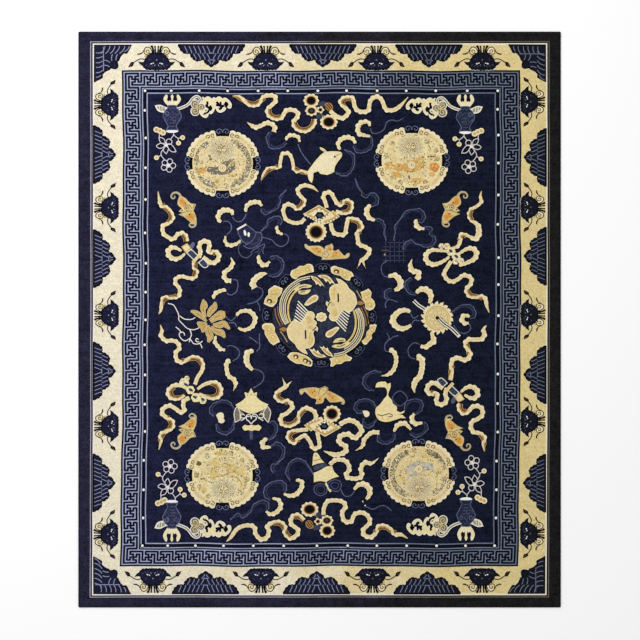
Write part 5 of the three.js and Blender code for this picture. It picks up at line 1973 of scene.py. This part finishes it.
STEMS = (
    ((1.4, 27.4), (1.2, 30), (-1.2, 33.4), (-2.4, 34.8)),
    ((1.3, 29.6), (3.4, 31.4), (5.9, 33.4), (6.2, 35.8)),
    ((5.6, 33.2), (8.4, 32.6)),
    ((-12.8, 28), (-12.9, 32.6)),
    ((-7.6, 42.6), (-10.4, 46), (-11, 50), (-6.4, 56)),
    ((-11, 49.8), (-13.6, 51.4)),
)
FLOWER_PETALS = (
    ((-5, 39.4, 1), (-2.2, 38.6), (1.6, 42), (3.9, 46.7, 1), (-0.6, 46.4), (-3.8, 43.2)),
    ((-6.4, 40.6, 1), (-3.6, 43.4), (-5.9, 48.8, 1), (-9, 44.8)),
    ((-7.4, 39.8, 1), (-11, 38), (-15.8, 40.6), (-12.6, 43.2), (-8.8, 42)),
    ((-6.6, 37.6, 1), (-8.6, 33.4), (-13.2, 32, 1), (-12.4, 36), (-10.2, 38.2)),
    ((-5.8, 38.4, 1), (-5.6, 34.9), (-3.1, 33.8), (-0.4, 35.5), (-0.8, 38.4), (-3.1, 39.2)),
)
FLOWER_MIDDLES = ((-6, 39.8, 1.7), (-3.9, 60.3, 1.5))  # middle and radius
BLOSSOM = ((-7.4, 57.6), (-2.3, 56.3), (0.8, 60.4), (-2.8, 64.3), (-8.2, 62.3))  # middles of its petals
BUD_RADIUS = 2.5
CLUSTER_RADIUS = 3
BUDS = ((10.4, 32.4), (6.3, 37.9), (-15.7, 52.5))
CLUSTER = ((-15.8, 24.4), (-9.2, 27.4), (-12.4, 25.6))
# Vases: x and y of the foot, mirrored, height, height of the stand, and how far its sprigs are shifted out
VASES = (
    (172.2, 105.2, False, 1, 1, 0),
    (465.4, 106.4, True, 1, 1.12, 0),
    (171.8, 528.4, False, -1.03, 1.2, -2),
    (466, 526.6, True, -1.06, 1.24, 2.4),
)


def draw_sprigs(pile):
    """Two flowers, three buds and a cluster on thin stems."""
    draw_stems(pile, STEMS, 0.85, "petal")
    petals = [shape(points) for points in FLOWER_PETALS] + [ring(x, y, 2.7) for x, y in BLOSSOM]
    for outline in petals:
        pile.fill(outline, "shadow", 3, halo=1.3)
        pile.line(outline, 0.85, "petal", 4, closed=True)
        centre = sum(outline, Vector((0, 0))) / len(outline)
        pile.fill(ring(*centre, 0.55, steps=8), "thread_dim", 4)
    for middle in FLOWER_MIDDLES:
        pile.fill(ring(*middle), "ivory_line", 5)
    for places, size, name in ((BUDS, BUD_RADIUS, "gold_pale"), (CLUSTER, CLUSTER_RADIUS, "gold")):
        for x, y in places:
            pile.fill(ring(x, y, size, size * 0.95), "ribbon_edge", 5, halo=HALO)
        for x, y in places:
            pile.fill(ring(x, y, size * 0.55), name, 6)
            pile.fill(ring(x, y, size * 0.24, steps=8), "olive", 7)


def make_vases():
    """The four corner vases with their sprigs, sceptres and clouds."""
    random.seed(3)
    pile = Pile("vases", FIELD)
    for x, y, mirror, tall, stand, shift in VASES:
        with pile.at(x, y, mirror=mirror, tall=tall):
            cloud = shape(CLOUD)
            pile.fill(cloud, "ivory_line", 3, halo=HALO)
            pile.fill(grown(cloud, -0.9), "cream_gold", 3.5)
            for extra, name, level in ((1.9, "ivory_line", 4), (0.7, "shadow", 5)):
                for width, *points in CLOUD_GAPS:
                    pile.line(smooth(points), width + extra, name, level)
            pile.draw(SCEPTRE_ROWS, 6)
            for lobe_x, lobe_y, radius, _ in SCEPTRE_LOBES:
                pile.fill(ring(lobe_x, lobe_y, radius), "ivory_line", 8, halo=HALO)
            for lobe_x, lobe_y, radius, turn in SCEPTRE_LOBES:
                pile.fill(ring(lobe_x, lobe_y, radius - 0.8), "stone", 8.5)
                pile.line(spiral(lobe_x, lobe_y, radius - 1.1, turn), 0.7, "ribbon", 9)
            pile.fill(ring(*SCEPTRE_GEM), "yellow", 9.5)
            pile.fill(ring(*SCEPTRE_HOLE), "shadow", 9.5)
            with pile.at(0, 0, tall=stand):
                pile.fill(shape(VASE_STAND), "ribbon_edge", 8, halo=HALO)
            pile.draw(VASE_ROWS, 9)
            pile.speckle(*VASE_SPECKLE, 12, 0.6)
            with pile.at(-shift, 0):
                draw_sprigs(pile)
    return pile.finish()


def make_bats():
    """The bats: one above the medallion, one below it, and four at the sides."""
    pile = Pile("bats", FIELD)
    with pile.at(*UPPER_BAT_PLACE):
        pile.draw(UPPER_BAT)
    pile.draw(LOWER_BAT)
    for x, y, mirror, tall in SIDE_BAT_PLACES:
        with pile.at(x, y, mirror=mirror, tall=tall):
            pile.draw(SIDE_BAT)
    return pile.finish()


# The emblems that are drawn round their middles: x, y, turn, function and its tables
EMBLEM_PLACES = (
    (321.4, 110.8, 0, draw_knot),
    (317, 520.5, 180, draw_knot),
    (319.6, 215.4, 0, draw_lozenges),
    (324.3, 426.3, 180, draw_lozenges),
    (194.5, 255.7, 0, draw_tube),
    (451.3, 390, 180, draw_tube),
    (191.4, 390.6, 0, draw_bow, *LEFT_BOW),
    (451.9, 253.5, 0, draw_bow, *RIGHT_BOW),
)


def make_emblems():
    """The precious objects of the field, each tied in ribbons."""
    random.seed(5)
    pile = Pile("emblems", FIELD)
    for x, y, turn, draw, *tables in EMBLEM_PLACES:
        with pile.at(x, y, turn):
            draw(pile, *tables)
    for row in LOZENGE_LOOPS:
        pile.loop(*row)
    for rows in (FISH, CANOPY, UMBRELLA, JAR, CONCH):
        pile.draw(rows, 3)
    pile.beads(*CONCH_BEADS)
    draw_lotus(pile)
    draw_wheel(pile)
    draw_endless_knot(pile)
    return pile.finish()


# The overcast edges, in metres
WRAP_RADIUS = 0.0042
WRAP_SLANT = 0.0025
WRAP_SIDES = 4
WRAP_STEPS = 9
WRAP_REACH = 1.2  # the radius is stretched by these outwards, above the middle and below it
WRAP_RISE = 0.70
WRAP_DROP = 0.52
WRAP_INSET = 0.0048  # from the outline in to the middle of a wrap
WRAP_HEIGHT = 0.0032
WRAP_WANDER = (-0.00015, 0.00025)  # how far a wrap stands in or out of the row


def make_overcasting(name, colour, along_y):
    """Yarn sewn over and over round two opposite edges of the carpet, one slanting wrap after another."""
    random.seed(11 if along_y else 12)
    length = 2 * (HIGH.y if along_y else HIGH.x) - 2 * CORNER_RADIUS
    sizes = bpy.context.scene.carpet_sizes
    count = int(length / sizes.wrap_pitch)
    wrap = bmesh.new()
    bmesh.ops.create_circle(wrap, segments=WRAP_SIDES, radius=sizes.yarn_thickness / 2)
    bmesh.ops.rotate(wrap, verts=wrap.verts, matrix=Matrix.Rotation(math.pi / 2, 3, "X"))
    bmesh.ops.translate(wrap, verts=wrap.verts, vec=(WRAP_RADIUS, 0, 0))
    bmesh.ops.spin(
        wrap,
        geom=wrap.verts[:] + wrap.edges[:],
        axis=(0, 1, 0),
        cent=(0, 0, 0),
        angle=math.tau,
        steps=WRAP_STEPS,
        use_merge=True,
    )
    bmesh.ops.recalc_face_normals(wrap, faces=wrap.faces)
    mesh = mesh_of("wrap", wrap)
    bm = bmesh.new()
    for side in (-1, 1):
        for i in range(count):
            place = -length / 2 + (i + 0.5) * length / count
            start = len(bm.verts)
            bm.from_mesh(mesh)
            bm.verts.ensure_lookup_table()
            lift = random.uniform(*WRAP_WANDER)
            for v in bm.verts[start:]:
                out = v.co.x * WRAP_REACH - WRAP_INSET
                up = WRAP_HEIGHT + v.co.z * (WRAP_RISE if v.co.z > 0 else WRAP_DROP)
                shift = v.co.y + WRAP_SLANT * v.co.x / WRAP_RADIUS * 0.5
                edge = side * ((HIGH.x if along_y else HIGH.y) + out + lift)
                v.co = (edge, place + shift, up) if along_y else (place + shift, edge, up)
    bpy.data.meshes.remove(mesh)
    bmesh.ops.recalc_face_normals(bm, faces=bm.faces)
    return finished(name, bm, [colour])


# The photograph's frame, in chart squares, and the width of the film, in millimetres
PHOTO_ACROSS = 640.0
PHOTO_MIDDLE = (0.45, -0.45)
CAMERA_SENSOR = 36.0
FLOOR_GAP = 0.0002  # between the carpet and the floor
LAMP_PLACE = (-3.2, 3.4, 5.5)
WHITE = (1, 1, 1, 1)
FLOOR_SURFACE = {
    "Base Color": (0.93, 0.93, 0.93, 1),
    "Roughness": 0.8,
    "Emission Color": WHITE,
    "Emission Strength": 0.15,
}


def make_stage():
    """A pale floor, soft light from above, and the camera over the middle of the carpet."""
    scene = bpy.context.scene
    studio = scene.carpet_studio
    bm = bmesh.new()
    bmesh.ops.create_grid(bm, x_segments=1, y_segments=1, size=studio.floor_size / 2)
    floor = placed("floor", mesh_of("floor", bm))
    floor.location.z = -FLOOR_GAP
    paint = bpy.data.materials.new("pale_floor")
    paint.use_nodes = True
    for key, value in FLOOR_SURFACE.items():
        paint.node_tree.nodes["Principled BSDF"].inputs[key].default_value = value
    floor.data.materials.append(paint)

    world = bpy.data.worlds.new("studio")
    world.use_nodes = True
    sky = world.node_tree.nodes["Background"]
    sky.inputs["Color"].default_value = WHITE
    sky.inputs["Strength"].default_value = studio.sky_strength
    scene.world = world
    light = bpy.data.lights.new("soft_box", "AREA")
    light.size = studio.lamp_size
    light.energy = studio.lamp_power
    lamp = placed("soft_box", light)
    lamp.location = LAMP_PLACE
    lamp.rotation_euler = (-lamp.location).to_track_quat("-Z", "Y").to_euler()

    camera = bpy.data.cameras.new("camera")
    camera.lens = studio.lens
    camera.sensor_width = CAMERA_SENSOR
    camera.clip_end = 100
    distance = PHOTO_ACROSS * SQUARE * studio.lens / CAMERA_SENSOR
    x, y = PHOTO_MIDDLE
    eye = placed("camera", camera)
    eye.location = (x * SQUARE, y * SQUARE, PILE_TOP + distance)
    scene.camera = eye
    scene.view_settings.view_transform = "Standard"
    return floor


def dye(name):
    """What the property of a wool's dye has besides its name and description."""
    return {"subtype": "COLOR_GAMMA", "size": 3, "min": 0.0, "max": 1.0, "default": WOOLS[name][0]}


class CarpetDyes(bpy.types.PropertyGroup):
    """Dyes of the wools at the left of the carpet. Those at its right change with them."""

    guard_navy: FloatVectorProperty(
        name="Guard", description="Plain guard round the carpet", **dye("guard_navy"),
    )
    ivory_border: FloatVectorProperty(
        name="Border", description="Ground of the wide border", **dye("ivory_border"),
    )
    fret_navy: FloatVectorProperty(
        name="Fret ground", description="Ground behind the key fret", **dye("fret_navy"),
    )
    fret_blue: FloatVectorProperty(name="Fret", description="Thread of the key fret", **dye("fret_blue"))
    field_navy: FloatVectorProperty(name="Field", description="Ground of the field", **dye("field_navy"))
    hill_navy: FloatVectorProperty(
        name="Mountains", description="Mountains and flowers of the border", **dye("hill_navy"),
    )
    ribbon_edge: FloatVectorProperty(
        name="Ribbon edge", description="Frilled edge of the ribbons", **dye("ribbon_edge"),
    )
    ribbon: FloatVectorProperty(name="Ribbon", description="Inside of the ribbons", **dye("ribbon"))
    thread_blue: FloatVectorProperty(
        name="Ribbon back", description="Lines along their blue side", **dye("thread_blue"),
    )
    moon_blue: FloatVectorProperty(
        name="Medallion", description="Ground of the central medallion", **dye("moon_blue"),
    )
    cream_gold: FloatVectorProperty(
        name="Emblems", description="Cream of the emblems and roundels", **dye("cream_gold"),
    )
    orange: FloatVectorProperty(name="Bats", description="Strongest dye of the bats' wings", **dye("orange"))
    edge_navy: FloatVectorProperty(
        name="Side yarn", description="Yarn sewn round the sides", **dye("edge_navy"),
    )
    edge_black: FloatVectorProperty(
        name="End yarn", description="Yarn sewn round the ends", **dye("edge_black"),
    )


class CarpetSizes(bpy.types.PropertyGroup):
    """Sizes of the pattern and of the edge yarn."""

    layer_step: FloatProperty(
        name="Layer step", description="Height between two layers of the pattern",
        default=0.0001, min=0.00005, unit="LENGTH", precision=5,
    )
    inlay_depth: FloatProperty(
        name="Inlay depth", description="How deep the pattern sits in the ground",
        default=0.0012, min=0.0005, unit="LENGTH", precision=4,
    )
    yarn_thickness: FloatProperty(
        name="Yarn thickness", description="Thickness of the yarn round the edges",
        default=0.0022, min=0.0005, unit="LENGTH", precision=4,
    )
    wrap_pitch: FloatProperty(
        name="Wrap pitch", description="Distance from one wrap of the edge yarn to the next",
        default=0.0042, min=0.002, unit="LENGTH", precision=4,
    )
    pearl_radius: FloatProperty(
        name="Pearl radius", description="Radius of a pearl of the guard, in chart squares",
        default=1.35, min=0.5,
    )
    frill_depth: FloatProperty(
        name="Frill depth", description="Depth of the frill along a ribbon, in chart squares",
        default=1.35, min=0.0,
    )
    fret_thinning: FloatProperty(
        name="Fret thinning", description="How far the fret's thread draws in, as a share of half its width",
        default=0.3, min=0.0, max=0.6, subtype="FACTOR",
    )


class CarpetStudio(bpy.types.PropertyGroup):
    """The light, the floor and the camera."""

    sky_strength: FloatProperty(
        name="Sky strength", description="Strength of the even light from all round",
        default=0.6, min=0.0,
    )
    lamp_power: FloatProperty(
        name="Lamp power", description="Power of the soft lamp",
        default=260.0, min=0.0, unit="POWER",
    )
    lamp_size: FloatProperty(
        name="Lamp size", description="Width of the soft lamp",
        default=5.0, min=0.1, unit="LENGTH",
    )
    lens: FloatProperty(
        name="Lens", description="Focal length of the camera",
        default=100.0, min=20.0, unit="CAMERA",
    )
    floor_size: FloatProperty(
        name="Floor size", description="Width of the pale floor",
        default=14.0, min=4.0, unit="LENGTH",
    )


class CARPET_OT_stage(bpy.types.Operator):
    """Makes the floor, the light and the camera"""

    bl_idname = "carpet.stage"
    bl_label = "Stage"

    def execute(self, context):
        make_stage()
        return {"FINISHED"}


class CARPET_OT_ground(bpy.types.Operator):
    """Makes the thick ground of the carpet with its plain frames"""

    bl_idname = "carpet.ground"
    bl_label = "Ground"

    def execute(self, context):
        make_ground()
        return {"FINISHED"}


class CARPET_OT_fret(bpy.types.Operator):
    """Makes the key fret round the field"""

    bl_idname = "carpet.fret"
    bl_label = "Key fret"

    def execute(self, context):
        make_fret()
        return {"FINISHED"}


class CARPET_OT_pearls(bpy.types.Operator):
    """Makes the pearls of the narrow guard"""

    bl_idname = "carpet.pearls"
    bl_label = "Pearls"

    def execute(self, context):
        make_pearls()
        return {"FINISHED"}


class CARPET_OT_mountains(bpy.types.Operator):
    """Makes the mountains of the ivory border"""

    bl_idname = "carpet.mountains"
    bl_label = "Mountains"

    def execute(self, context):
        make_mountains()
        return {"FINISHED"}


class CARPET_OT_flowers(bpy.types.Operator):
    """Makes the flower heads of the ivory border"""

    bl_idname = "carpet.flowers"
    bl_label = "Flower heads"

    def execute(self, context):
        make_flowers()
        return {"FINISHED"}


class CARPET_OT_ribbons(bpy.types.Operator):
    """Makes the ribbons that wind through the field"""

    bl_idname = "carpet.ribbons"
    bl_label = "Ribbons"

    def execute(self, context):
        make_ribbons()
        return {"FINISHED"}


class CARPET_OT_bats(bpy.types.Operator):
    """Makes the six bats of the field"""

    bl_idname = "carpet.bats"
    bl_label = "Bats"

    def execute(self, context):
        make_bats()
        return {"FINISHED"}


class CARPET_OT_emblems(bpy.types.Operator):
    """Makes the precious objects of the field"""

    bl_idname = "carpet.emblems"
    bl_label = "Emblems"

    def execute(self, context):
        make_emblems()
        return {"FINISHED"}


class CARPET_OT_medallion(bpy.types.Operator):
    """Makes the central medallion with its two phoenixes"""

    bl_idname = "carpet.medallion"
    bl_label = "Medallion"

    def execute(self, context):
        make_medallion()
        return {"FINISHED"}


class CARPET_OT_roundels(bpy.types.Operator):
    """Makes the four lion roundels of the corners"""

    bl_idname = "carpet.roundels"
    bl_label = "Roundels"

    def execute(self, context):
        make_roundels()
        return {"FINISHED"}


class CARPET_OT_vases(bpy.types.Operator):
    """Makes the four corner vases with their sprigs"""

    bl_idname = "carpet.vases"
    bl_label = "Vases"

    def execute(self, context):
        make_vases()
        return {"FINISHED"}


class CARPET_OT_edges(bpy.types.Operator):
    """Sews the yarn over the two sides and the two ends"""

    bl_idname = "carpet.edges"
    bl_label = "Edge yarn"

    def execute(self, context):
        make_overcasting("side_overcasting", "edge_navy", True)
        make_overcasting("end_overcasting", "edge_black", False)
        return {"FINISHED"}


OPERATORS = (
    CARPET_OT_stage, CARPET_OT_ground, CARPET_OT_fret, CARPET_OT_pearls, CARPET_OT_mountains,
    CARPET_OT_flowers, CARPET_OT_ribbons, CARPET_OT_bats, CARPET_OT_emblems, CARPET_OT_medallion,
    CARPET_OT_roundels, CARPET_OT_vases, CARPET_OT_edges,
)


class CARPET_PT_parts(bpy.types.Panel):
    """Lists the carpet's dyes, sizes and studio, and the operators that make its pieces"""

    bl_label = "Carpet"
    bl_idname = "CARPET_PT_parts"
    bl_space_type = "VIEW_3D"
    bl_region_type = "UI"
    bl_category = "Carpet"

    def draw(self, context):
        scene = context.scene
        for group in (scene.carpet_dyes, scene.carpet_sizes, scene.carpet_studio):
            box = self.layout.box()
            for name in type(group).__annotations__:
                box.prop(group, name)
        for operator in OPERATORS:
            self.layout.operator(operator.bl_idname)


GROUPS = {"carpet_dyes": CarpetDyes, "carpet_sizes": CarpetSizes, "carpet_studio": CarpetStudio}
CLASSES = (*GROUPS.values(), *OPERATORS, CARPET_PT_parts)


def register():
    for each in CLASSES:
        bpy.utils.register_class(each)
    for name, group in GROUPS.items():
        setattr(bpy.types.Scene, name, PointerProperty(type=group))


def unregister():
    for name in GROUPS:
        delattr(bpy.types.Scene, name)
    for each in reversed(CLASSES):
        bpy.utils.unregister_class(each)


def main():
    register()
    bpy.ops.carpet.stage()
    bpy.ops.carpet.ground()
    bpy.ops.carpet.fret()
    bpy.ops.carpet.pearls()
    bpy.ops.carpet.mountains()
    bpy.ops.carpet.flowers()
    bpy.ops.carpet.ribbons()
    bpy.ops.carpet.bats()
    bpy.ops.carpet.emblems()
    bpy.ops.carpet.medallion()
    bpy.ops.carpet.roundels()
    bpy.ops.carpet.vases()
    bpy.ops.carpet.edges()


if __name__ == "__main__":
    main()
